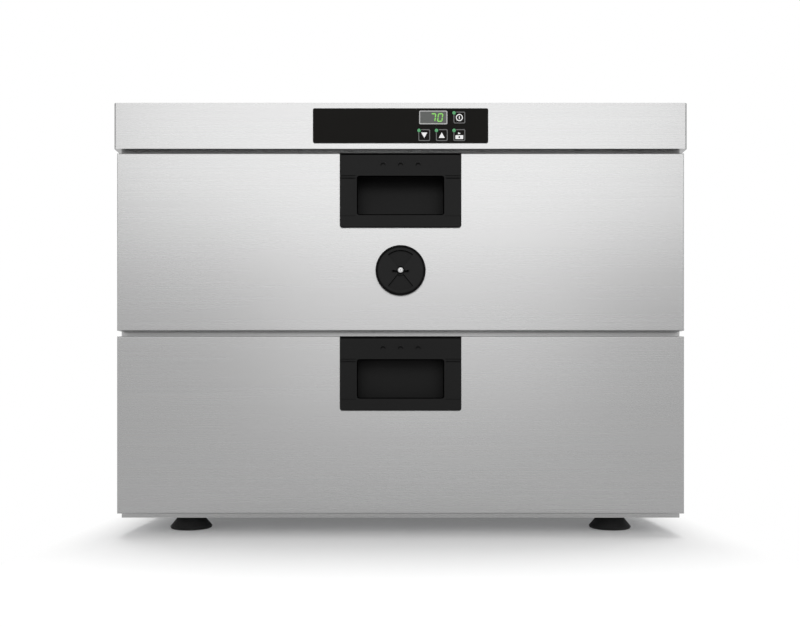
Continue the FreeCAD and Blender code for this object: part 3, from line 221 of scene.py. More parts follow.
class Finish(Shading):
    """A material with its Principled shader."""

    def __init__(self, name):
        self.material = bpy.data.materials.new(name)
        self.material.use_nodes = True
        super().__init__(self.material.node_tree, "Object")
        self.shader = self.tree.nodes.new("ShaderNodeBsdfPrincipled")
        self.output = self.tree.nodes.new("ShaderNodeOutputMaterial")
        self.tree.links.new(self.shader.outputs[0], self.output.inputs["Surface"])

    def set(self, **values):
        """Sets or links sockets of the Principled shader, with _ for a space."""
        for key, value in values.items():
            socket = key.replace("_", " ").title().replace("Ior", "IOR")
            self.feed(self.shader.inputs[socket], value)

    def bumped(self, height, strength, distance):
        """Gives the surface small relief from a height."""
        normal = self.node(
            "ShaderNodeBump", {}, {"Height": height, "Strength": strength, "Distance": distance}
        )
        self.feed(self.shader.inputs["Normal"], normal)
        return self


def grey(value):
    """A neutral colour."""
    return (value, value, value)


def tinted(colour, factor):
    """A colour made darker or brighter."""
    return tuple(min(1.0, part * factor) for part in colour)


# Settings


class SheetSettings(bpy.types.PropertyGroup):
    """Colours and grain of the sheet metal."""

    outer: bpy.props.FloatVectorProperty(
        name="Outer steel", description="Colour of the brushed skins", subtype="COLOR",
        default=(0.36, 0.36, 0.36), min=0, max=1,
    )
    inner: bpy.props.FloatVectorProperty(
        name="Inner steel", description="Colour of the liner and inner panels", subtype="COLOR",
        default=(0.62, 0.62, 0.61), min=0, max=1,
    )
    pan: bpy.props.FloatVectorProperty(
        name="Pan steel", description="Colour of the drawn pans", subtype="COLOR",
        default=(0.72, 0.72, 0.71), min=0, max=1,
    )
    zinc: bpy.props.FloatVectorProperty(
        name="Zinc", description="Colour of the zinc coated sheet", subtype="COLOR",
        default=(0.52, 0.53, 0.54), min=0, max=1,
    )
    roughness: bpy.props.FloatProperty(
        name="Roughness", description="How dull the brushed steel is", default=0.27,
        min=0.05, max=1, subtype="FACTOR",
    )
    metal: bpy.props.FloatProperty(
        name="Metallic", description="How much of the skin's light is mirrored", default=0.90,
        min=0, max=1, subtype="FACTOR",
    )
    grain: bpy.props.FloatProperty(
        name="Grain", description="Depth of the brush lines", default=0.000012,
        min=0, max=0.001, unit="LENGTH",
    )


class MouldingSettings(bpy.types.PropertyGroup):
    """Colours of the black mouldings, the film, the rubber, their dark lines and their painted
    shade.
    """

    handle: bpy.props.FloatVectorProperty(
        name="Handle", description="Colour of the handle plates", subtype="COLOR",
        default=(0.0036, 0.0036, 0.0036), min=0, max=1,
    )
    disc: bpy.props.FloatVectorProperty(
        name="Vent disc", description="Colour of the turning disc", subtype="COLOR",
        default=(0.0060, 0.0060, 0.0060), min=0, max=1,
    )
    ring: bpy.props.FloatVectorProperty(
        name="Vent ring", description="Colour of the ring and dish", subtype="COLOR",
        default=(0.0012, 0.0012, 0.0012), min=0, max=1,
    )
    film: bpy.props.FloatVectorProperty(
        name="Panel film", description="Colour of the control panel", subtype="COLOR",
        default=(0.0056, 0.0050, 0.0040), min=0, max=1,
    )
    foot: bpy.props.FloatVectorProperty(
        name="Feet", description="Colour of the feet", subtype="COLOR",
        default=(0.018, 0.018, 0.018), min=0, max=1,
    )
    port_floor: bpy.props.FloatVectorProperty(
        name="Port floor", description="Colour of the floor behind the vent's ports",
        subtype="COLOR", default=(0.0045, 0.0045, 0.0045), min=0, max=1,
    )
    # The shade colour is painted shade: the dark rim in each recess, the line along each handle's
    # top edge, and the grip's dark wings and collar.
    shade: bpy.props.FloatVectorProperty(
        name="Shade", description="Colour of the recess's rim and of the grip's shaded parts",
        subtype="COLOR", default=(0.0012, 0.0012, 0.0012), min=0, max=1,
    )
    # The handle line colour serves the dark joint lines and the painted shade arches on the screw
    # caps.
    line: bpy.props.FloatVectorProperty(
        name="Handle line", description="Colour of the handle's joint lines and cap edges",
        subtype="COLOR", default=(0.005, 0.005, 0.005), min=0, max=1,
    )
    # The dimple's darker colour is painted shade in the rivet's hollow.
    dimple: bpy.props.FloatVectorProperty(
        name="Dimple", description="Colour of the dimple in the rivet", subtype="COLOR",
        default=(0.36, 0.36, 0.36), min=0, max=1,
    )


class HandleSettings(bpy.types.PropertyGroup):
    """Sizes of the joint lines and of the painted shade on the handles."""

    recess: bpy.props.FloatVectorProperty(
        name="Recess", description="Width and height of a handle's recess", size=2,
        default=(0.0996, 0.045), min=0.01, max=0.5, unit="LENGTH",
    )
    recess_drop: bpy.props.FloatProperty(
        name="Recess drop", description="From a handle's top to its recess", default=0.0262,
        min=0.001, max=0.1, unit="LENGTH",
    )
    # The recess rim is painted shade round the recess's mouth.
    rim: bpy.props.FloatProperty(
        name="Recess rim", description="Width of the dark rim inside a recess", default=0.0011,
        min=0.0002, max=0.005, unit="LENGTH",
    )
    rim_corner: bpy.props.FloatVectorProperty(
        name="Rim corners", description="Radius of the rim's corners outside and inside", size=2,
        default=(0.003, 0.002), min=0.0002, max=0.01, unit="LENGTH",
    )
    rim_foot: bpy.props.FloatProperty(
        name="Rim foot", description="From the handle's face in to the rim's foot",
        default=0.0015, min=0, max=0.01, unit="LENGTH",
    )
    rim_rise: bpy.props.FloatProperty(
        name="Rim rise", description="From the rim's foot out to its face", default=0.0014,
        min=0.0001, max=0.01, unit="LENGTH",
    )
    rim_bite: bpy.props.FloatProperty(
        name="Rim bite", description="How far the rim reaches into the recess's walls",
        default=0.0001, min=0, max=0.001, unit="LENGTH",
    )
    relief: bpy.props.FloatProperty(
        name="Line relief", description="How far a line stands off its surface", default=0.00004,
        min=0.00001, max=0.001, unit="LENGTH",
    )
    # The edge line is painted shade along the plate's top edge, in the shade colour.
    edge: bpy.props.FloatVectorProperty(
        name="Edge line",
        description="Drop from the handle's top, height, and inset from its sides", size=3,
        default=(0.0019, 0.0015, 0.0012), min=0, max=0.01, unit="LENGTH",
    )
    line_height: bpy.props.FloatVectorProperty(
        name="Line heights", description="Heights of the top, middle and foot lines", size=3,
        default=(0.0005, 0.0006, 0.00035), min=0.0001, max=0.005, unit="LENGTH",
    )
    line_drop: bpy.props.FloatVectorProperty(
        name="Line drops", description="The middle line's drop below the recess's top, and the "
        "foot line's below its foot", size=2,
        default=(0.0028, 0.0008), min=0, max=0.01, unit="LENGTH",
    )
    line_margin: bpy.props.FloatProperty(
        name="Line margin", description="Clear space at both ends of a line", default=0.001,
        min=0, max=0.01, unit="LENGTH",
    )
    line_corner: bpy.props.FloatProperty(
        name="Line corner", description="Radius of a line's corners", default=0.00015,
        min=0.00001, max=0.001, unit="LENGTH",
    )
    # The arch is painted shade on a screw cap's upper edge.
    arch_reach: bpy.props.FloatProperty(
        name="Arch radius", description="Radius of the shaded arch on a screw cap",
        default=0.0025, min=0.0005, max=0.01, unit="LENGTH",
    )
    arch_drop: bpy.props.FloatProperty(
        name="Arch drop", description="From a screw cap's middle down to its arch's",
        default=0.0014, min=0, max=0.01, unit="LENGTH",
    )
    arch_half: bpy.props.FloatVectorProperty(
        name="Arch width", description="Half an arch's width at its ends, and its growth to the "
        "crown", size=2, default=(0.0002, 0.0005), min=0, max=0.002, unit="LENGTH",
    )


class VentSettings(bpy.types.PropertyGroup):
    """Sizes of the floors behind the vent's ports, of the gaps of painted shade round them, and of
    the painted shade on its grip.
    """

    seat_floor: bpy.props.FloatProperty(
        name="Seat floor", description="From the drawer's face out to the vent's floor",
        default=0.0015, min=0, max=0.01, unit="LENGTH",
    )
    floor_relief: bpy.props.FloatProperty(
        name="Floor relief", description="How far a port's floor stands off the vent's floor",
        default=0.00008, min=0.00001, max=0.001, unit="LENGTH",
    )
    floor_near: bpy.props.FloatProperty(
        name="Floor start", description="From the vent's middle to a port's floor",
        default=0.005, min=0.001, max=0.02, unit="LENGTH",
    )
    # The upper floor stops short of its port's outer arc and the lower floor is inset from its
    # port's sides, so the dark seat left in view there is painted shade.
    upper_floor: bpy.props.FloatVectorProperty(
        name="Upper floor", description="Reach, and inset from the port's straight sides",
        size=2, default=(0.0219, 0.0003), min=0, max=0.05, unit="LENGTH",
    )
    lower_floor: bpy.props.FloatVectorProperty(
        name="Lower floor", description="Reach, and inset from the port's straight sides",
        size=2, default=(0.0228, 0.0008), min=0, max=0.05, unit="LENGTH",
    )
    port_half: bpy.props.FloatProperty(
        name="Port angle", description="Half the angle between a port's straight sides",
        default=math.radians(39), min=0.1, max=1.5, unit="ROTATION",
    )
    relief: bpy.props.FloatProperty(
        name="Mark relief", description="How far a mark stands off the disc", default=0.00005,
        min=0.00001, max=0.001, unit="LENGTH",
    )
    # The collar is a dark ring of painted shade round the rivet.
    collar: bpy.props.FloatVectorProperty(
        name="Collar", description="Outer and inner radius of the collar round the rivet",
        size=2, default=(0.0043, 0.0032), min=0.001, max=0.01, unit="LENGTH",
    )
    dimple_radius: bpy.props.FloatProperty(
        name="Dimple radius", description="Radius of the dimple in the rivet", default=0.0008,
        min=0.0001, max=0.003, unit="LENGTH",
    )


class MarkSettings(bpy.types.PropertyGroup):
    """Sizes and colours of the print on the keys, of the display's frame and of the lit figures;
    the glow of the print and of the frame is painted light.
    """

    key_face: bpy.props.FloatProperty(
        name="Key face", description="Width of a key's raised face", default=0.0134,
        min=0.004, max=0.03, unit="LENGTH",
    )
    key_corner: bpy.props.FloatProperty(
        name="Key corner", description="Radius of a key's corners", default=0.0016,
        min=0.0002, max=0.004, unit="LENGTH",
    )
    lamp_gap: bpy.props.FloatProperty(
        name="Lamp gap", description="From the lamp to the ends of the outline", default=0.00045,
        min=0, max=0.003, unit="LENGTH",
    )
    outline_width: bpy.props.FloatProperty(
        name="Outline width", description="Width of the line round a key", default=0.0010,
        min=0.0002, max=0.003, unit="LENGTH",
    )
    relief: bpy.props.FloatProperty(
        name="Relief", description="How far a mark stands off its key", default=0.00008,
        min=0.00001, max=0.001, unit="LENGTH",
    )
    frame_width: bpy.props.FloatProperty(
        name="Display frame", description="Width of the display's bright frame", default=0.0011,
        min=0.0002, max=0.004, unit="LENGTH",
    )
    frame_corner: bpy.props.FloatVectorProperty(
        name="Frame corners", description="Radius of the frame's corners outside and inside",
        size=2, default=(0.0015, 0.0007), min=0.0001, max=0.005, unit="LENGTH",
    )
    frame_relief: bpy.props.FloatProperty(
        name="Frame relief", description="How far the frame stands off the display",
        default=0.00035, min=0.00001, max=0.002, unit="LENGTH",
    )
    digit_height: bpy.props.FloatProperty(
        name="Figure height", description="Height of the lit figures", default=0.0098,
        min=0.002, max=0.02, unit="LENGTH",
    )
    digit_shift: bpy.props.FloatProperty(
        name="Figure place", description="How far right of the display's middle the figures stand",
        default=0.0015, min=-0.01, max=0.01, unit="LENGTH",
    )
    stroke: bpy.props.FloatVectorProperty(
        name="Strokes", description="Width of a figure's halo and of its bars", size=2,
        default=(0.002, 0.0009), min=0.0001, max=0.005, unit="LENGTH",
    )
    layer: bpy.props.FloatProperty(
        name="Figure relief", description="Height of the halo, and of the bars on it",
        default=0.00005, min=0.00001, max=0.001, unit="LENGTH",
    )
    lamp_rise: bpy.props.FloatProperty(
        name="Lamp rise", description="How far a lamp's lens swells out", default=0.0005,
        min=0.0001, max=0.003, unit="LENGTH",
    )
    line: bpy.props.FloatVectorProperty(
        name="Key line", description="Colour of the outlines", subtype="COLOR",
        default=(0.20, 0.20, 0.20), min=0, max=1,
    )
    # The outlines' glow is painted light: the print is no lamp.
    line_glow: bpy.props.FloatProperty(
        name="Line glow", description="Light that the outlines give off", default=0.10,
        min=0, max=2,
    )
    white: bpy.props.FloatVectorProperty(
        name="White print", description="Colour of the symbols", subtype="COLOR",
        default=(0.98, 0.98, 0.98), min=0, max=1,
    )
    # The symbols' glow is painted light: the print is no lamp.
    white_painted_glow: bpy.props.FloatProperty(
        name="Symbol glow", description="Light that the symbols give off", default=0.28,
        min=0, max=2,
    )
    dark: bpy.props.FloatVectorProperty(
        name="Dark print", description="Colour of the square in the start key's block",
        subtype="COLOR", default=(0.02, 0.02, 0.02), min=0, max=1,
    )
    # The frame's pale colour is its own; its glow is painted light, for the frame is no lamp.
    display_frame: bpy.props.FloatVectorProperty(
        name="Frame", description="Colour of the display's frame", subtype="COLOR",
        default=(0.60, 0.60, 0.60), min=0, max=1,
    )
    frame_painted_glow: bpy.props.FloatProperty(
        name="Frame glow", description="Light that the display's frame gives off", default=0.15,
        min=0, max=2,
    )
    figure: bpy.props.FloatVectorProperty(
        name="Figures", description="Colour of the lit figures", subtype="COLOR",
        default=(0.28, 0.66, 0.17), min=0, max=1,
    )
    halo: bpy.props.FloatVectorProperty(
        name="Figure halo", description="Colour round the lit figures", subtype="COLOR",
        default=(0.12, 0.28, 0.055), min=0, max=1,
    )
    lamp: bpy.props.FloatVectorProperty(
        name="Lamps", description="Colour of the lamps", subtype="COLOR",
        default=(0.17, 0.56, 0.26), min=0, max=1,
    )
    lamp_heart: bpy.props.FloatVectorProperty(
        name="Lamp heart", description="Colour at the middle of a lamp", subtype="COLOR",
        default=(0.133, 0.386, 0.174), min=0, max=1,
    )


class StudioSettings(bpy.types.PropertyGroup):
    """The camera, the floor and the lights."""

    distance: bpy.props.FloatProperty(
        name="Camera distance", description="From the lens to the cabinet's face", default=1.0,
        min=0.3, max=5, unit="LENGTH",
    )
    height: bpy.props.FloatProperty(
        name="Camera height", description="Height of the lens above the floor", default=0.1564,
        min=0.01, max=3, unit="LENGTH",
    )
    lens: bpy.props.FloatProperty(
        name="Focal length", description="In millimetres on a 36 mm frame", default=39.4,
        min=10, max=200,
    )
    rise: bpy.props.FloatProperty(
        name="Rise", description="Upward shift of the lens as a share of the frame", default=0.108,
        min=-0.5, max=0.5,
    )
    across: bpy.props.FloatProperty(
        name="Cross", description="Sideways shift of the lens as a share of the frame",
        default=-0.0007, min=-0.5, max=0.5,
    )
    sky: bpy.props.FloatProperty(
        name="Sky", description="Brightness of the studio above the horizon", default=0.85,
        min=0, max=5,
    )
    horizon: bpy.props.FloatProperty(
        name="Horizon", description="Brightness of the studio at the lens's height", default=0.50,
        min=0, max=5,
    )
    overhead: bpy.props.FloatProperty(
        name="Overhead", description="Brightness of the studio straight above", default=0.20,
        min=0, max=5,
    )
    fade_across: bpy.props.FloatVectorProperty(
        name="Fade aside", description="Where the floor's shadow begins and ends to fade, in X",
        size=2, default=(0.33, 0.38), min=0.1, max=5, unit="LENGTH",
    )
    fade_along: bpy.props.FloatVectorProperty(
        name="Fade ahead", description="Where the floor's shadow begins and ends to fade, in Y",
        size=2, default=(0.56, 0.72), min=0.1, max=5, unit="LENGTH",
    )
    low: bpy.props.FloatProperty(
        name="Low light", description="Power of the low soft box ahead", default=2.6,
        min=0, max=500, unit="POWER",
    )
    front: bpy.props.FloatProperty(
        name="Front light", description="Power of the soft box before the drawers", default=17.6,
        min=0, max=500, unit="POWER",
    )
    top: bpy.props.FloatProperty(
        name="Top light", description="Power of the soft box over the cabinet", default=55.0,
        min=0, max=500, unit="POWER",
    )
    sheen: bpy.props.FloatProperty(
        name="Sheen", description="Power of the same box's share that metal mirrors", default=13.0,
        min=0, max=500, unit="POWER",
    )
    floor: bpy.props.FloatProperty(
        name="Floor", description="Reflectance of the floor for light that reaches the part",
        default=0.18, min=0, max=1, subtype="FACTOR",
    )
    lift: bpy.props.FloatProperty(
        name="Shadow lift", description="Light that the floor's shadows keep", default=0.13,
        min=0, max=1, subtype="FACTOR",
    )


# Surfaces


def surface(name, grid, finish, body, ends=True, smooth=True, along=False):
    """A mesh from a grid of points with rows and columns.

    Each cell of the grid is one face. Columns join round. Rows join when along is set, and
    otherwise the first and last row are closed with one face each when ends is set.
    """
    rows, columns, _ = grid.shape
    index = np.arange(rows * columns).reshape(rows, columns)
    if along:
        index = np.vstack([index, index[:1]])
    index = np.hstack([index, index[:, :1]])
    quads = np.stack([index[:-1, :-1], index[:-1, 1:], index[1:, 1:], index[1:, :-1]], -1)
    faces = quads.reshape(-1, 4).tolist()
    if ends and not along:
        faces += [list(range(columns)), list(range((rows - 1) * columns, rows * columns))]
    mesh = bpy.data.meshes.new(name)
    mesh.from_pydata(grid.reshape(-1, 3).tolist(), [], faces)
    tidy = bmesh.new()
    tidy.from_mesh(mesh)
    bmesh.ops.remove_doubles(tidy, verts=tidy.verts, dist=1e-7)
    bmesh.ops.recalc_face_normals(tidy, faces=tidy.faces)
    tidy.to_mesh(mesh)
    tidy.free()
    mesh.polygons.foreach_set("use_smooth", np.full(len(mesh.polygons), smooth))
    piece = bpy.data.objects.new(name, mesh)
    bpy.context.scene.collection.objects.link(piece)
    mesh.materials.append(finish.material)
    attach(piece, body)
    return piece


def joined(name, pieces):
    """Several pieces made one mesh, so that like marks share an object."""
    whole = bmesh.new()
    for piece in pieces:
        whole.from_mesh(piece.data)
    first = pieces[0]
    whole.to_mesh(first.data)
    whole.free()
    for piece in pieces[1:]:
        mesh = piece.data
        bpy.data.objects.remove(piece)
        bpy.data.meshes.remove(mesh)
    first.name = name
    first.data.name = name
    return first


def upright(points, depth, centre):
    """Flat points (x, z) at one depth y, moved to a centre (x, z)."""
    flat = np.asarray(points, float)
    out = np.empty((len(flat), 3))
    out[:, 0] = flat[:, 0] + centre[0]
    out[:, 1] = depth
    out[:, 2] = flat[:, 1] + centre[1]
    return out


def on_circle(angles):
    """Points (x, z) on a circle of radius 1: the cosine and the sine of each angle."""
    return np.stack([np.cos(angles), np.sin(angles)], -1)


def full_turn(count):
    """Angles round a whole circle, evenly spaced."""
    return np.linspace(0, 2 * math.pi, count, endpoint=False)


def rounded_box(width, height, radius):
    """A rectangle's outline whose corners are quarter circles of seven points: four centres
    plus radius times the unit circle."""
    corners = np.array(((1, 1), (-1, 1), (-1, -1), (1, -1)))[:, None]
    centres = corners * (width / 2 - radius, height / 2 - radius)
    turn = np.linspace(0, math.pi / 2, 7) + np.arange(4)[:, None] * math.pi / 2
    return (centres + radius * on_circle(turn)).reshape(-1, 2)


def raised_mark(name, outline, centre, base, relief, finish, slot, body):
    """A thin plate with a soft rim: the outline at the base and just below the top, the outline
    drawn in by about a third of the relief at the top, and its middle point."""
    outline = np.asarray(outline, float)
    middle = outline.mean(0)
    reach = np.abs(outline - middle).max()
    shares = (0, 1, 1, 1 - RIM_LEAN * relief / reach, 0)
    depths = base - relief * np.array((0, 0, RIM_START, 1, 1))
    grid = np.stack(
        [upright(middle + (outline - middle) * k, y, centre) for k, y in zip(shares, depths)]
    )
    return surface(name, grid, finish, body, ends=False, smooth=False)


def ribbon(outer, inner, centre, base, relief):
    """A flat section with soft shoulders between two outlines: a row for each of its points,
    from the outer outline over the top to the inner one."""
    return np.stack(
        [upright(outer + (inner - outer) * k, base - relief * h, centre) for k, h in SHOULDERS]
    )


def raised_ring(name, outer, inner, centre, base, relief, finish, slot, body):
    """A closed line: a ribbon's section carried round both outlines."""
    grid = ribbon(outer, inner, centre, base, relief)
    return surface(name, grid, finish, body, along=True, smooth=False)


def raised_line(name, outer, inner, centre, base, relief, finish, body):
    """An open line: a ribbon's section carried along both outlines, closed at both ends."""
    grid = ribbon(outer, inner, centre, base, relief).transpose(1, 0, 2)
    return surface(name, grid, finish, body, smooth=False)


def dome(name, centre, radius, base, rise, finish, slot, body):
    """A cap of a squashed ball: the radius falls as a cosine while the height grows as a sine."""
    turn, circle = np.linspace(0, math.pi / 2, 10)[:, None], on_circle(full_turn(40))
    grid = np.empty((len(turn), len(circle), 3))
    grid[..., ::2] = centre + radius * np.cos(turn)[..., None] * circle
    grid[..., 1] = base - rise * np.sin(turn)
    closed = np.concatenate([np.broadcast_to(grid[0].mean(0), grid[:1].shape), grid])
    return surface(name, closed, finish, body, ends=False)


def middle_of(node):
    """The centre (x, z) of a CAD node and its foremost depth."""
    low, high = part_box(node)
    return ((low.x + high.x) / 2, (low.z + high.z) / 2), low.y


def islands(node):
    """The separate solids of a CAD node as (lowest, highest) corner pairs."""
    mesh = bmesh.new()
    mesh.from_mesh(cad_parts[node].data)
    bmesh.ops.remove_doubles(mesh, verts=mesh.verts, dist=1e-6)
    left = set(mesh.verts)
    found = []
    while left:
        stack = [left.pop()]
        corner = [stack[0].co.copy(), stack[0].co.copy()]
        while stack:
            vert = stack.pop()
            corner = [Vector(map(min, corner[0], vert.co)), Vector(map(max, corner[1], vert.co))]
            for edge in vert.link_edges:
                other = edge.other_vert(vert)
                if other in left:
                    left.remove(other)
                    stack.append(other)
        found.append(tuple(corner))
    mesh.free()
    return found


def dress(slot, finish):
    """Gives a finish to every CAD node of one material slot."""
    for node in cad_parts.values():
        for place in node.material_slots:
            if place.material and place.material.name.split(".")[0] == slot:
                place.material = finish.material


# Finishes


def brushed_steel(name, colour, metal, roughness, grain):
    """Sheet with brush lines along X on faces that look forward or up, and along Y on sides."""
    f = Finish(name)
    on_side = f.facing(0).over(0.7)
    lines = f.noise(f.scaled((3.0, 700.0, 700.0)), detail=3.0, roughness=0.6)
    side_lines = f.noise(f.scaled((700.0, 3.0, 700.0)), detail=3.0, roughness=0.6)
    brush = lines + on_side * (side_lines - lines)
    cloud = f.noise(f.scaled((1.4, 1.4, 2.6)), scale=2.0)
    tone = f.spread(brush, 0.3, 0.7)
    f.set(
        base_color=f.blend(tone, tinted(colour, 0.99), tinted(colour, 1.01)),
        metallic=metal,
        roughness=(roughness - 0.05) + brush * 0.06 + cloud * 0.04,
    )
    return f.bumped(brush, strength=0.07, distance=grain)


def plain_steel(name, colour, roughness):
    """Mill finish: faint rolling lines and a cloudy sheen."""
    f = Finish(name)
    lines = f.noise(f.scaled((4.0, 260.0, 260.0)))
    cloud = f.noise(f.scaled((9.0, 9.0, 9.0)), detail=3.0)
    f.set(
        base_color=f.blend(cloud, tinted(colour, 0.93), tinted(colour, 1.05)),
        metallic=0.9,
        roughness=roughness + lines * 0.06 + cloud * 0.08 - 0.07,
    )
    return f.bumped(lines, strength=0.25, distance=0.00002)


def zinc_sheet(name, colour, cell_size):
    """Zinc coat: crystals of slightly different grey and sheen."""
    f = Finish(name)
    crystal = f.node("ShaderNodeSeparateColor", {}, {0: f.cells(1 / cell_size, "Color")}, 0)
    fine = f.noise(scale=260.0, detail=3.0)
    tone = crystal * 0.7 + fine * 0.3
    f.set(
        base_color=f.blend(tone, tinted(colour, 0.86), tinted(colour, 1.1)),
        metallic=0.7,
        roughness=0.36 + crystal * 0.16 + fine * 0.06,
    )
    return f.bumped(fine, strength=0.15, distance=0.00002)


def moulding(name, colour, roughness, specular=0.145):
    """Moulded plastic with a fine eroded texture."""
    f = Finish(name)
    spots = f.noise(scale=1900.0)
    cloud = f.noise(scale=24.0)
    f.set(
        base_color=f.blend(cloud, tinted(colour, 0.9), tinted(colour, 1.12)),
        roughness=roughness + cloud * 0.06 - 0.03 + spots * 0.04,
        specular_ior_level=specular,
    )
    return f.bumped(spots, strength=0.3, distance=0.00002)


def gloss(name, colour, roughness, specular, coat=0.0):
    """Smooth hard surface with a faint uneven polish."""
    f = Finish(name)
    cloud = f.noise(scale=60.0)
    f.set(
        base_color=f.blend(cloud, tinted(colour, 0.92), tinted(colour, 1.08)),
        roughness=roughness + cloud * 0.05,
        specular_ior_level=specular,
        coat_weight=coat,
        coat_roughness=0.08,
    )
    return f


def rubber(name, colour):
    """Matt rubber, dusty on what looks up."""
    f = Finish(name)
    up = f.facing(2)
    spots = f.noise(scale=700.0, detail=3.0)
    f.set(
        base_color=f.blend(up * 0.35 + spots * 0.3, colour, tinted(colour, 1.7)),
        roughness=0.62 + spots * 0.14,
        specular_ior_level=0.35,
    )
    return f.bumped(spots, strength=0.3, distance=0.00004)


def mineral_wool(name):
    """Fibres in layers; the colour follows their depth, part fibre tone, part painted shade in the
    hollows between them.
    """
    f = Finish(name)
    wander = f.noise(scale=30.0, detail=3.0)
    fibres = f.noise(f.scaled((60.0, 60.0, 420.0)), detail=6.0, roughness=0.7)
    tufts = f.cells(140.0)
    # Depth drives both the relief and the colour: the low parts are painted darker as shade, over
    # the fibres' own tone.
    depth = fibres * 0.7 + tufts * 0.3
    f.set(
        base_color=f.blend(f.spread(depth, 0.25, 0.65), (0.22, 0.17, 0.08), (0.62, 0.54, 0.34)),
        roughness=0.9 + wander * 0.08,
        specular_ior_level=0.15,
    )
    return f.bumped(depth + wander * 0.5, strength=0.8, distance=0.0012)


def plated(name, colour, roughness):
    """Plated small hardware with fine turning marks."""
    f = Finish(name)
    marks = f.noise(scale=900.0)
    f.set(
        base_color=f.blend(marks, tinted(colour, 0.92), tinted(colour, 1.05)),
        metallic=1.0,
        roughness=roughness + marks * 0.08,
    )
    return f


def heated_sheath(name):
    """Heater sheath with straw and blue heat tints along its length."""
    f = Finish(name)
    bands = f.noise(scale=16.0, detail=3.0)
    fine = f.noise(scale=500.0)
    tint = f.blend(f.spread(bands, 0.35, 0.65), (0.20, 0.17, 0.13), (0.30, 0.29, 0.30))
    f.set(base_color=tint, metallic=0.85, roughness=0.38 + fine * 0.12)
    return f.bumped(fine, strength=0.2, distance=0.00003)


def ceramic(name):
    """White glazed ceramic."""
    f = Finish(name)
    cloud = f.noise(scale=120.0, detail=3.0)
    f.set(
        base_color=f.blend(cloud, (0.74, 0.72, 0.66), (0.84, 0.82, 0.77)),
        roughness=0.28 + cloud * 0.12,
        coat_weight=0.3,
    )
    return f


def laminated_core(name):
    """Stacked core sheets: fine lines over a dark lacquer."""
    f = Finish(name)
    stack = f.node(
        "ShaderNodeTexWave", {"wave_type": "BANDS", "bands_direction": "Y"},
        {"Vector": f.place, "Scale": 260.0, "Distortion": 0.4}, "Fac",
    )
    f.set(
        base_color=f.blend(stack, (0.05, 0.05, 0.055), (0.17, 0.17, 0.18)),
        metallic=0.5, roughness=0.45 + stack * 0.1,
    )
    return f.bumped(stack, strength=0.4, distance=0.0001)


def circuit_board(name):
    """Green solder mask with paler tracks."""
    f = Finish(name)
    tracks = f.node(
        "ShaderNodeTexBrick", {"offset": 0.5},
        {
            "Vector": f.place, "Scale": 90.0, "Mortar Size": 0.06,
            "Color1": grey(0.0), "Color2": grey(0.0), "Mortar": grey(1.0),
        },
        "Fac",
    )
    f.set(
        base_color=f.blend(tracks, (0.010, 0.075, 0.028), (0.035, 0.16, 0.06)),
        roughness=0.3 + tracks * 0.08,
        coat_weight=0.3,
    )
    return f


def lit(name, colour, edge, strength, scale):
    """A lit plastic that is a little uneven, with its light in its own colour."""
    f = Finish(name)
    cloud = f.noise(scale=scale, detail=1.0)
    tone = f.spread(cloud, 0.35, 0.65)
    glow = f.blend(tone, tinted(colour, edge), colour)
    f.set(
        base_color=glow,
        emission_color=glow,
        emission_strength=strength,
        roughness=0.4,
        specular_ior_level=0.1,
    )
    return f


def print_and_painted_light(name, colour, glow=0.0, specular=0.1):
    """A matt colour with a slightly broken tone: screen print, and also the dark marks of painted
    shade; where it glows, the glow is painted light.
    """
    f = Finish(name)
    speck = f.noise(scale=2600.0)
    tone = f.blend(speck, tinted(colour, 0.94), tinted(colour, 1.04))
    f.set(
        base_color=tone,
        emission_color=tone,
        emission_strength=glow,
        roughness=0.5 + speck * 0.1,
        specular_ior_level=specular,
    )
    return f


# Operators


class DRAWER_OT_metal(bpy.types.Operator):
    """Finish the steel skins, the liner, the pans, the slides and the hardware"""

    bl_idname = "drawer.metal"
    bl_label = "Finish the metal"

    def execute(self, context):
        s = context.scene.drawer_sheet
        outer, inner, pan, zinc = tuple(s.outer), tuple(s.inner), tuple(s.pan), tuple(s.zinc)
        skin = brushed_steel("outer_steel_finish", outer, s.metal, s.roughness, s.grain)
        rail = zinc_sheet("rail_steel_finish", tinted(zinc, 1.08), cell_size=0.004)
        dress("outer_steel", skin)
        dress("inner_steel", plain_steel("inner_steel_finish", inner, roughness=0.34))
        dress("pan_steel", plain_steel("pan_steel_finish", pan, roughness=0.22))
        dress("zinc_steel", zinc_sheet("zinc_steel_finish", zinc, cell_size=0.018))
        dress("rail_steel", rail)
        dress("screw_steel", plated("screw_steel_finish", (0.60, 0.60, 0.59), roughness=0.24))
        dress("rivet_steel", plated("rivet_steel_finish", grey(0.50), roughness=0.3))
        dress("core_steel", laminated_core("core_steel_finish"))
        dress("element_sheath", heated_sheath("element_sheath_finish"))
        return {"FINISHED"}


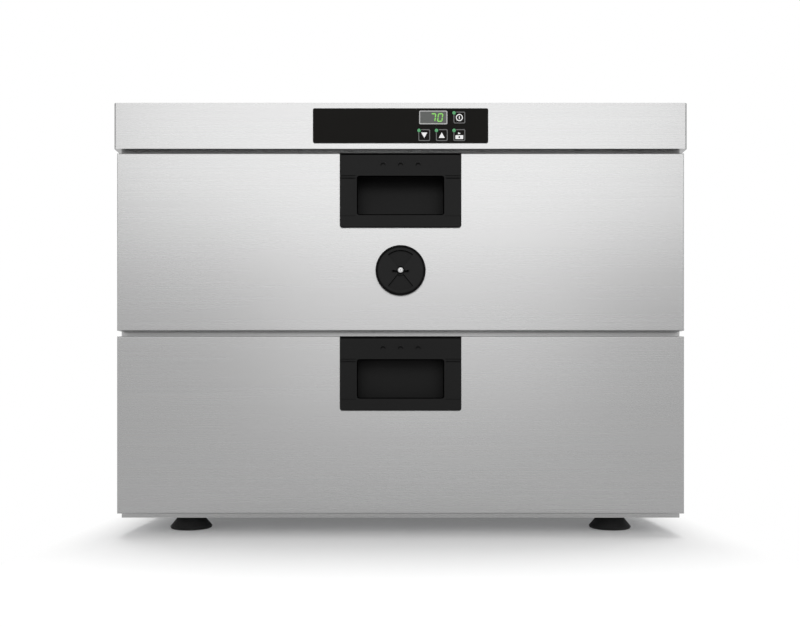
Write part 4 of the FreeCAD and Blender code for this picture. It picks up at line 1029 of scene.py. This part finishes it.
class DRAWER_OT_mouldings(bpy.types.Operator):
    """Finish the black mouldings, the film, the rubber, the wool and the small inner parts"""

    bl_idname = "drawer.mouldings"
    bl_label = "Finish the mouldings"

    def execute(self, context):
        s = context.scene.drawer_moulding
        handle, disc, ring, film, foot = map(tuple, (s.handle, s.disc, s.ring, s.film, s.foot))
        lens = gloss(
            "display_lens_finish", (0.105, 0.112, 0.105), roughness=0.2, specular=0.25, coat=0.1
        )
        dial = gloss("vent_black_finish", ring, roughness=0.42, specular=0.06)
        panel = gloss("panel_black_finish", film, roughness=0.46, specular=0.075)
        block = moulding("figure_block_finish", grey(0.03), roughness=0.5, specular=0.4)
        inner = moulding("black_plastic_finish", foot, roughness=0.5, specular=0.35)
        dress("handle_black", moulding("handle_black_finish", handle, roughness=0.46))
        dress("vent_grey", moulding("vent_grey_finish", disc, roughness=0.44))
        dress("black_plastic", inner)
        dress("vent_black", dial)
        dress("panel_black", panel)
        dress("display_lens", lens)
        dress("figure_block", block)
        dress("foot_black", rubber("foot_black_finish", foot))
        dress("seal_rubber", rubber("seal_rubber_finish", (0.022, 0.022, 0.023)))
        dress("wool", mineral_wool("wool_finish"))
        dress("switch_ceramic", ceramic("switch_ceramic_finish"))
        dress("board_green", circuit_board("board_green_finish"))
        return {"FINISHED"}


class DRAWER_OT_handle_lines(bpy.types.Operator):
    """Set the rim of painted shade in each recess, the painted shade along each handle's top edge
    and on its screw caps, and the joint lines on each handle
    """

    bl_idname = "drawer.handle_lines"
    bl_label = "Set the handle lines"

    def execute(self, context):
        colours, sizes = context.scene.drawer_moulding, context.scene.drawer_handle
        # The rim finish is painted shade: it darkens the recess's rim and the handle's top edge.
        rim = print_and_painted_light("recess_rim_finish", tuple(colours.shade), specular=0.0)
        # The line finish serves the dark joint lines and the painted shade arches on the caps.
        line = print_and_painted_light("handle_line_finish", tuple(colours.line), specular=0.0)
        for drawer in ("upper", "lower"):
            handle_lines(f"{drawer}_handle", f"{drawer}_drawer", sizes, rim, line)
        return {"FINISHED"}


def handle_lines(handle, body, s, rim, line):
    """A rounded ring of painted shade just inside the recess's mouth, a line of painted shade
    along the plate's top edge, from the recess to both sides two dark joint lines at its top and
    one at its foot, and an arch of painted shade on each of its screw caps."""
    low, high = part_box(handle)
    width, height = s.recess
    middle, top = (low.x + high.x) / 2, high.z - s.recess_drop
    outer = rounded_box(width + 2 * s.rim_bite, height + 2 * s.rim_bite, s.rim_corner[0])
    inner = rounded_box(width - 2 * s.rim, height - 2 * s.rim, s.rim_corner[1])
    mouth, foot = (middle, top - height / 2), low.y + s.rim_foot
    # A dark ring of painted shade inside the recess's mouth.
    raised_ring(
        f"{handle}_rim", outer, inner, mouth, foot, s.rim_rise, rim, "handle_black", body
    )

    def strip(name, x, z, wide, tall, finish):
        shape = rounded_box(wide, tall, s.line_corner)
        return raised_mark(name, shape, (x, z), low.y, s.relief, finish, "handle_black", body)

    # A line of painted shade along the plate's top edge.
    drop, tall, inset = s.edge
    strip(f"{handle}_edge", middle, high.z - drop, high.x - low.x - 2 * inset, tall, rim)
    side = (high.x - low.x - width) / 2 - 2 * s.line_margin
    offset = (width + side) / 2 + s.line_margin
    heights = (top, top - s.line_drop[0], top - height - s.line_drop[1])
    marks = [
        strip("line", x, z, side, tall, line)
        for x in (middle - offset, middle + offset)
        for z, tall in zip(heights, s.line_height)
    ]
    joined(f"{handle}_lines", marks)
    # An arch of painted shade on each screw cap.
    shades = [cap_shade(*cap, s, line, body) for cap in islands(f"{handle}_caps")]
    joined(f"{handle}_cap_shades", shades)


def cap_shade(low, high, s, finish, body):
    """Painted shade on the upper edge of a screw cap: a line along an arch from its right round to
    just past its left, whose width swells as a sine from both ends to the crown."""
    turn = np.radians(np.linspace(0, 190, 25))
    ends, swell = s.arch_half
    half = (ends + swell * np.sin(np.linspace(0, math.pi, len(turn))))[:, None]
    arch = on_circle(turn)
    outer, inner = arch * (s.arch_reach + half), arch * (s.arch_reach - half)
    centre = ((low.x + high.x) / 2, (low.z + high.z) / 2 - s.arch_drop)
    return raised_line(
        "shade", outer, inner, centre, low.y, s.relief, finish, body
    )


class DRAWER_OT_vent_marks(bpy.types.Operator):
    """Set the floors seen through the vent's ports, with gaps of painted shade round them, and the
    painted shade on its grip and in the rivet's dimple
    """

    bl_idname = "drawer.vent_marks"
    bl_label = "Set the vent's floors"

    def execute(self, context):
        colours, s = context.scene.drawer_moulding, context.scene.drawer_vent
        floor_finish = moulding("port_floor_finish", tuple(colours.port_floor), roughness=0.46)
        # The grip shades are painted shade: the dark wings under the grip bar and the collar round
        # the rivet.
        shade = print_and_painted_light("grip_shade_finish", tuple(colours.shade), specular=0.0)
        # The dimple is a flat darker disc: painted shade in the rivet's hollow.
        spot = print_and_painted_light("rivet_dimple_finish", tuple(colours.dimple))
        centre, disc_front = middle_of("vent_disc")
        _, rivet_front = middle_of("vent_rivet")
        seat_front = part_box("upper_drawer_front")[0].y - s.seat_floor
        # The reaches and insets leave a dark arc above the upper floor and dark lines beside the
        # lower one: painted shade.
        ports = ((s.upper_floor, math.radians(90)), (s.lower_floor, math.radians(270)))
        floors = [
            port_floor(centre, seat_front, s, size, turn, floor_finish) for size, turn in ports
        ]
        joined("vent_port_floors", floors)
        rest = (s.relief, shade, "vent_grey", "vent_knob")
        wing_shade = np.array(GRIP_WING_SHADE) * MM
        shades = [
            raised_mark("wing_shade", wing_shade * (side, 1), centre, disc_front, *rest) for side in (1, -1)
        ]
        circle = on_circle(full_turn(40))
        outer, inner = (circle * radius for radius in s.collar)
        shades.append(raised_ring("collar", outer, inner, centre, disc_front, *rest))
        joined("vent_grip_shades", shades)
        raised_mark(
            "rivet_dimple", circle * s.dimple_radius, centre, rivet_front + s.relief, s.relief,
            spot, "rivet_steel", "vent_knob",
        )
        return {"FINISHED"}


def port_floor(centre, front, s, size, turn, finish):
    """One flat floor behind a port: a wedge from near the hub to a reach, whose straight sides lie
    an inset inside the port's; the dark seat left in view round it is painted shade."""
    reach, inset = size
    half, near = s.port_half, s.floor_near
    far_arc = np.linspace(half - inset / reach, inset / reach - half, 24)
    near_arc = np.linspace(inset / near - half, half - inset / near, 8)
    parts = [reach * on_circle(far_arc + turn), near * on_circle(near_arc + turn)]
    return raised_mark(
        "port_floor", np.concatenate(parts), centre, front, s.floor_relief, finish,
        "vent_black", "upper_drawer",
    )


class DRAWER_OT_key_marks(bpy.types.Operator):
    """Print the outline and the symbol of each key; the outline and the white print glow with
    painted light
    """

    bl_idname = "drawer.key_marks"
    bl_label = "Print the keys"

    def execute(self, context):
        s = context.scene.drawer_marks
        # The outlines and the white symbols glow with painted light that brightens the print; the
        # keys are no lamps.
        line = print_and_painted_light("key_line_finish", tuple(s.line), s.line_glow)
        white = print_and_painted_light("key_white_finish", tuple(s.white), s.white_painted_glow)
        dark = print_and_painted_light("key_dark_finish", tuple(s.dark))
        lamps = islands("indicator_lights")
        for key in KEYS:
            centre, front = middle_of(key)
            lamp = min(lamps, key=lambda box: math.dist((box[0].x, box[0].z), centre))
            key_outline(key, centre, front, lamp, s, line)
            symbol(key, centre, front, s, white, dark)
        return {"FINISHED"}


def key_outline(key, centre, front, lamp, s, finish):
    """The line round a key, broken where the lamp stands: from the left side below the lamp
    round three corners of a rounded square to its top side beside the lamp."""
    lamp_low = lamp[0].z - centre[1] - s.lamp_gap
    lamp_right = lamp[1].x - centre[0] + s.lamp_gap

    def path(inset):
        width = s.key_face - 2 * inset
        corners = rounded_box(width, width, s.key_corner - inset / 2).reshape(4, -1, 2)
        start, end = [[-width / 2, lamp_low]], [[lamp_right, width / 2]]
        return np.concatenate([start, corners[2], corners[3], corners[0], end])

    outer, inner = path(0), path(s.outline_width)
    return raised_line(
        f"{key}_line", outer, inner, centre, front, s.relief, finish, key
    )


def symbol(key, centre, front, s, white, dark):
    """The symbol of one key, from triangles, a ring, bars and squares."""

    def mark(name, outline, move=(0, 0), finish=white, base=front):
        at = (centre[0] + move[0] * MM, centre[1] + move[1] * MM)
        shape = np.asarray(outline) * MM
        return raised_mark(name, shape, at, base, s.relief, finish, "panel_black", key)

    if key == "power_key":
        outer, inner = (on_circle(full_turn(48)) * radius * MM for radius in POWER_RING)
        ring = raised_ring(
            "power_ring", outer, inner, centre, front, s.relief, white, "panel_black", key
        )
        marks = [ring, mark("power_bar", rounded_box(*POWER_BAR))]
    elif key == "down_key":
        marks = [mark("down_arrow", DOWN_ARROW)]
    elif key == "up_key":
        marks = [mark("up_arrow", UP_ARROW)]
    else:
        block = mark("stop_block", rounded_box(*STOP_BLOCK), STOP_PLACE)
        marks = [block, mark("play_arrow", PLAY_ARROW, PLAY_PLACE)]
        mark("stop_square", rounded_box(*STOP_SQUARE), STOP_PLACE, dark, front - s.relief)
    return joined(f"{key}_symbol", marks)


class DRAWER_OT_display(bpy.types.Operator):
    """Make the display's frame, brightened with painted glow, and its lit figures"""

    bl_idname = "drawer.display"
    bl_label = "Light the display"

    def execute(self, context):
        s = context.scene.drawer_marks
        low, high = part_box("display_window")
        centre, front = middle_of("display_window")
        width, height = high.x - low.x, high.z - low.z
        edge = 2 * s.frame_width
        outer = rounded_box(width, height, s.frame_corner[0])
        inner = rounded_box(width - edge, height - edge, s.frame_corner[1])
        # The frame's glow is painted light.
        bright = print_and_painted_light("display_frame_glow_finish", tuple(s.display_frame), s.frame_painted_glow)
        raised_ring(
            "display_frame", outer, inner, centre, front, s.frame_relief, bright, "rivet_steel",
            "cabinet",
        )
        halo = lit("figure_halo_finish", tuple(s.halo), edge=0.8, strength=0.45, scale=400.0)
        core = lit("figure_finish", tuple(s.figure), edge=0.9, strength=0.6, scale=700.0)
        at = (centre[0] + s.digit_shift, centre[1])
        figures("figure_halo", at, front, s.digit_height, s.stroke[0], s.layer, halo)
        figures("figures", at, front - s.layer, s.digit_height, s.stroke[1], s.layer, core)
        return {"FINISHED"}


def figures(name, centre, front, tall, stroke, relief, finish):
    """Seven-segment figures: each bar is a long hexagon between two corners of a box round
    the figure, sheared to the right by a share of its height."""
    box = np.array((FIGURE_WIDTH * tall, tall - FIGURE_TRIM))
    half = stroke / 2
    gap, taper = BAR_GAP * half, BAR_TAPER * half
    pieces = []
    for bars, place in FIGURES:
        at = (centre[0] + place * tall, centre[1])
        for bar in bars:
            start, end = np.array(BARS[bar]) * box - box / 2
            length = math.dist(start, end)
            along = (end - start) / length
            across = np.array((-along[1], along[0]))
            hexagon = (
                (gap, 0), (gap + taper, half), (length - gap - taper, half),
                (length - gap, 0), (length - gap - taper, -half), (gap + taper, -half),
            )
            outline = start + np.array(hexagon) @ np.stack([along, across])
            outline[:, 0] += FIGURE_SLANT * outline[:, 1]
            pieces.append(
                raised_mark("bar", outline, at, front, relief, finish, "green_lamp", "cabinet")
            )
    return joined(name, pieces)


class DRAWER_OT_lamps(bpy.types.Operator):
    """Give each lamp its domed green lens"""

    bl_idname = "drawer.lamps"
    bl_label = "Dome the lamps"

    def execute(self, context):
        s = context.scene.drawer_marks
        shell = lit("green_lamp_finish", tuple(s.lamp), edge=0.8, strength=0.2, scale=900.0)
        glow = lit("lamp_heart_finish", tuple(s.lamp_heart), edge=0.85, strength=0.2, scale=900.0)
        dress("green_lamp", shell)
        domes, hearts = [], []
        for low, high in islands("indicator_lights"):
            centre = ((low.x + high.x) / 2, (low.z + high.z) / 2)
            radius = (high.z - low.z) / 2
            lens = (LENS_RADIUS * radius, low.y, s.lamp_rise)
            heart_base = low.y - HEART_START * s.lamp_rise
            heart = (HEART_RADIUS * radius, heart_base, HEART_RISE * s.lamp_rise)
            domes.append(dome("lamp", centre, *lens, shell, "green_lamp", "cabinet"))
            hearts.append(dome("heart", centre, *heart, glow, "green_lamp", "cabinet"))
        joined("lamp_domes", domes)
        joined("lamp_hearts", hearts)
        return {"FINISHED"}


class DRAWER_OT_studio(bpy.types.Operator):
    """Set the floor, the studio light and the camera"""

    bl_idname = "drawer.studio"
    bl_label = "Set the studio"

    def execute(self, context):
        s = context.scene.drawer_studio
        floor(s)
        sky(s)
        soft_box("front_box", s.front, *FRONT_BOX)
        soft_box("low_box", s.low, *LOW_BOX)
        soft_box("top_box", s.top, *TOP_BOX, mirrored=False)
        soft_box("sheen_box", s.sheen, *SHEEN_BOX)
        camera(s)
        context.scene.view_settings.view_transform = "Standard"
        return {"FINISHED"}


def floor(s):
    """A pale round floor: near the cabinet a white one that keeps its shadow, further out a
    plain white, and for soft light that goes back to the part a darker one."""
    rim = np.pad(FLOOR_RADIUS * on_circle(full_turn(96)), ((0, 0), (0, 1)))
    f = Finish("floor_finish")
    f.tree.nodes.remove(f.shader)
    across, along = f.part(f.place, 0).size(), f.part(f.place, 1).size()
    far = f.spread(across, *s.fade_across).larger(f.spread(along, *s.fade_along))
    lit_part = f.node("ShaderNodeBsdfDiffuse", {}, {"Color": grey(1 - s.lift)})
    kept = f.node("ShaderNodeEmission", {}, {"Color": grey(1), "Strength": s.lift})
    shaded = f.node("ShaderNodeAddShader", {}, {0: lit_part, 1: kept})
    plain = f.node("ShaderNodeEmission", {}, {"Color": grey(1), "Strength": 1.0})
    shown = f.node("ShaderNodeMixShader", {}, {0: far, 1: shaded, 2: plain})
    other = f.node("ShaderNodeBsdfDiffuse", {}, {"Color": grey(s.floor)})
    mixed = f.node("ShaderNodeMixShader", {}, {0: f.seen(), 1: other, 2: shown})
    f.feed(f.output.inputs["Surface"], mixed)
    mesh = bpy.data.meshes.new("floor")
    mesh.from_pydata(rim.tolist(), [], [list(range(len(rim)))])
    mesh.materials.append(f.material)
    piece = bpy.data.objects.new("floor", mesh)
    bpy.context.scene.collection.objects.link(piece)


def sky(s):
    """White for the camera, in reflections and through glass, and for soft light a grey horizon
    that grows bright above it and dark again overhead."""
    world = bpy.data.worlds.new("studio")
    bpy.context.scene.world = world
    world.use_nodes = True
    f = Shading(world.node_tree, "Generated")
    level = f.node(
        "ShaderNodeValToRGB",
        {"stops": (
            (0.0, grey(s.horizon)), (0.03, grey(s.horizon * 1.1)), (0.3, grey(s.sky)),
            (0.6, grey(s.sky)), (0.85, grey(s.overhead)),
        )},
        {0: f.part(f.place, 2)}, "Color",
    )
    studio = f.node("ShaderNodeBackground", {}, {"Color": level, "Strength": 1.0})
    white = f.node("ShaderNodeBackground", {}, {"Color": grey(1), "Strength": 1.0})
    mixed = f.node("ShaderNodeMixShader", {}, {0: f.seen(), 1: studio, 2: white})
    out = f.tree.nodes.new("ShaderNodeOutputWorld")
    f.feed(out.inputs["Surface"], mixed)


def soft_box(name, power, size, place, mirrored=True):
    """A rectangular soft light that faces the middle of the cabinet, and that metal shows in
    its reflections when mirrored is set."""
    data = bpy.data.lights.new(name, "AREA")
    data.shape = "RECTANGLE"
    data.size, data.size_y = size
    data.energy = power
    lamp = bpy.data.objects.new(name, data)
    bpy.context.scene.collection.objects.link(lamp)
    lamp.visible_glossy = mirrored
    lamp.location = place
    lamp.rotation_mode = "QUATERNION"
    lamp.rotation_quaternion = (Vector(AIM) - Vector(place)).to_track_quat("-Z", "Y")


def camera(s):
    """A level camera, low before the drawers, with the lens raised to frame the cabinet."""
    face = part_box("upper_drawer_front")[0].y
    data = bpy.data.cameras.new("camera")
    data.sensor_width = 36.0
    data.lens = s.lens
    data.shift_y = s.rise
    data.shift_x = s.across
    data.clip_start, data.clip_end = 0.01, 50.0
    eye = bpy.data.objects.new("camera", data)
    bpy.context.scene.collection.objects.link(eye)
    eye.location = (0.0, face - s.distance, s.height)
    eye.rotation_euler = (math.pi / 2, 0.0, 0.0)
    bpy.context.scene.camera = eye


class DRAWER_PT_looks(bpy.types.Panel):
    """Sizes, colours and steps of the warming drawer"""

    bl_idname = "DRAWER_PT_looks"
    bl_label = "Warming drawer"
    bl_space_type = "VIEW_3D"
    bl_region_type = "UI"
    bl_category = "Drawer"

    def draw(self, context):
        layout = self.layout
        for name in GROUPS:
            group = getattr(context.scene, name)
            box = layout.box()
            for key in group.bl_rna.properties.keys():
                if key not in ("rna_type", "name"):
                    box.prop(group, key)
        for step in STEPS:
            layout.operator(step.bl_idname)


GROUPS = {
    "drawer_sheet": SheetSettings,
    "drawer_moulding": MouldingSettings,
    "drawer_handle": HandleSettings,
    "drawer_vent": VentSettings,
    "drawer_marks": MarkSettings,
    "drawer_studio": StudioSettings,
}
STEPS = (
    DRAWER_OT_studio,
    DRAWER_OT_metal,
    DRAWER_OT_mouldings,
    DRAWER_OT_handle_lines,
    DRAWER_OT_vent_marks,
    DRAWER_OT_key_marks,
    DRAWER_OT_display,
    DRAWER_OT_lamps,
)


def register():
    """Adds the classes and their settings."""
    for group in GROUPS.values():
        bpy.utils.register_class(group)
    for name, group in GROUPS.items():
        setattr(bpy.types.Scene, name, bpy.props.PointerProperty(type=group))
    for step in STEPS + (DRAWER_PT_looks,):
        bpy.utils.register_class(step)


def unregister():
    """Removes what register added."""
    for step in STEPS + (DRAWER_PT_looks,):
        bpy.utils.unregister_class(step)
    for name, group in GROUPS.items():
        delattr(bpy.types.Scene, name)
        bpy.utils.unregister_class(group)


def main():
    """Runs every step in order."""
    register()
    for step in STEPS:
        group, name = step.bl_idname.split(".")
        getattr(getattr(bpy.ops, group), name)()


if __name__ == "__main__":
    main()
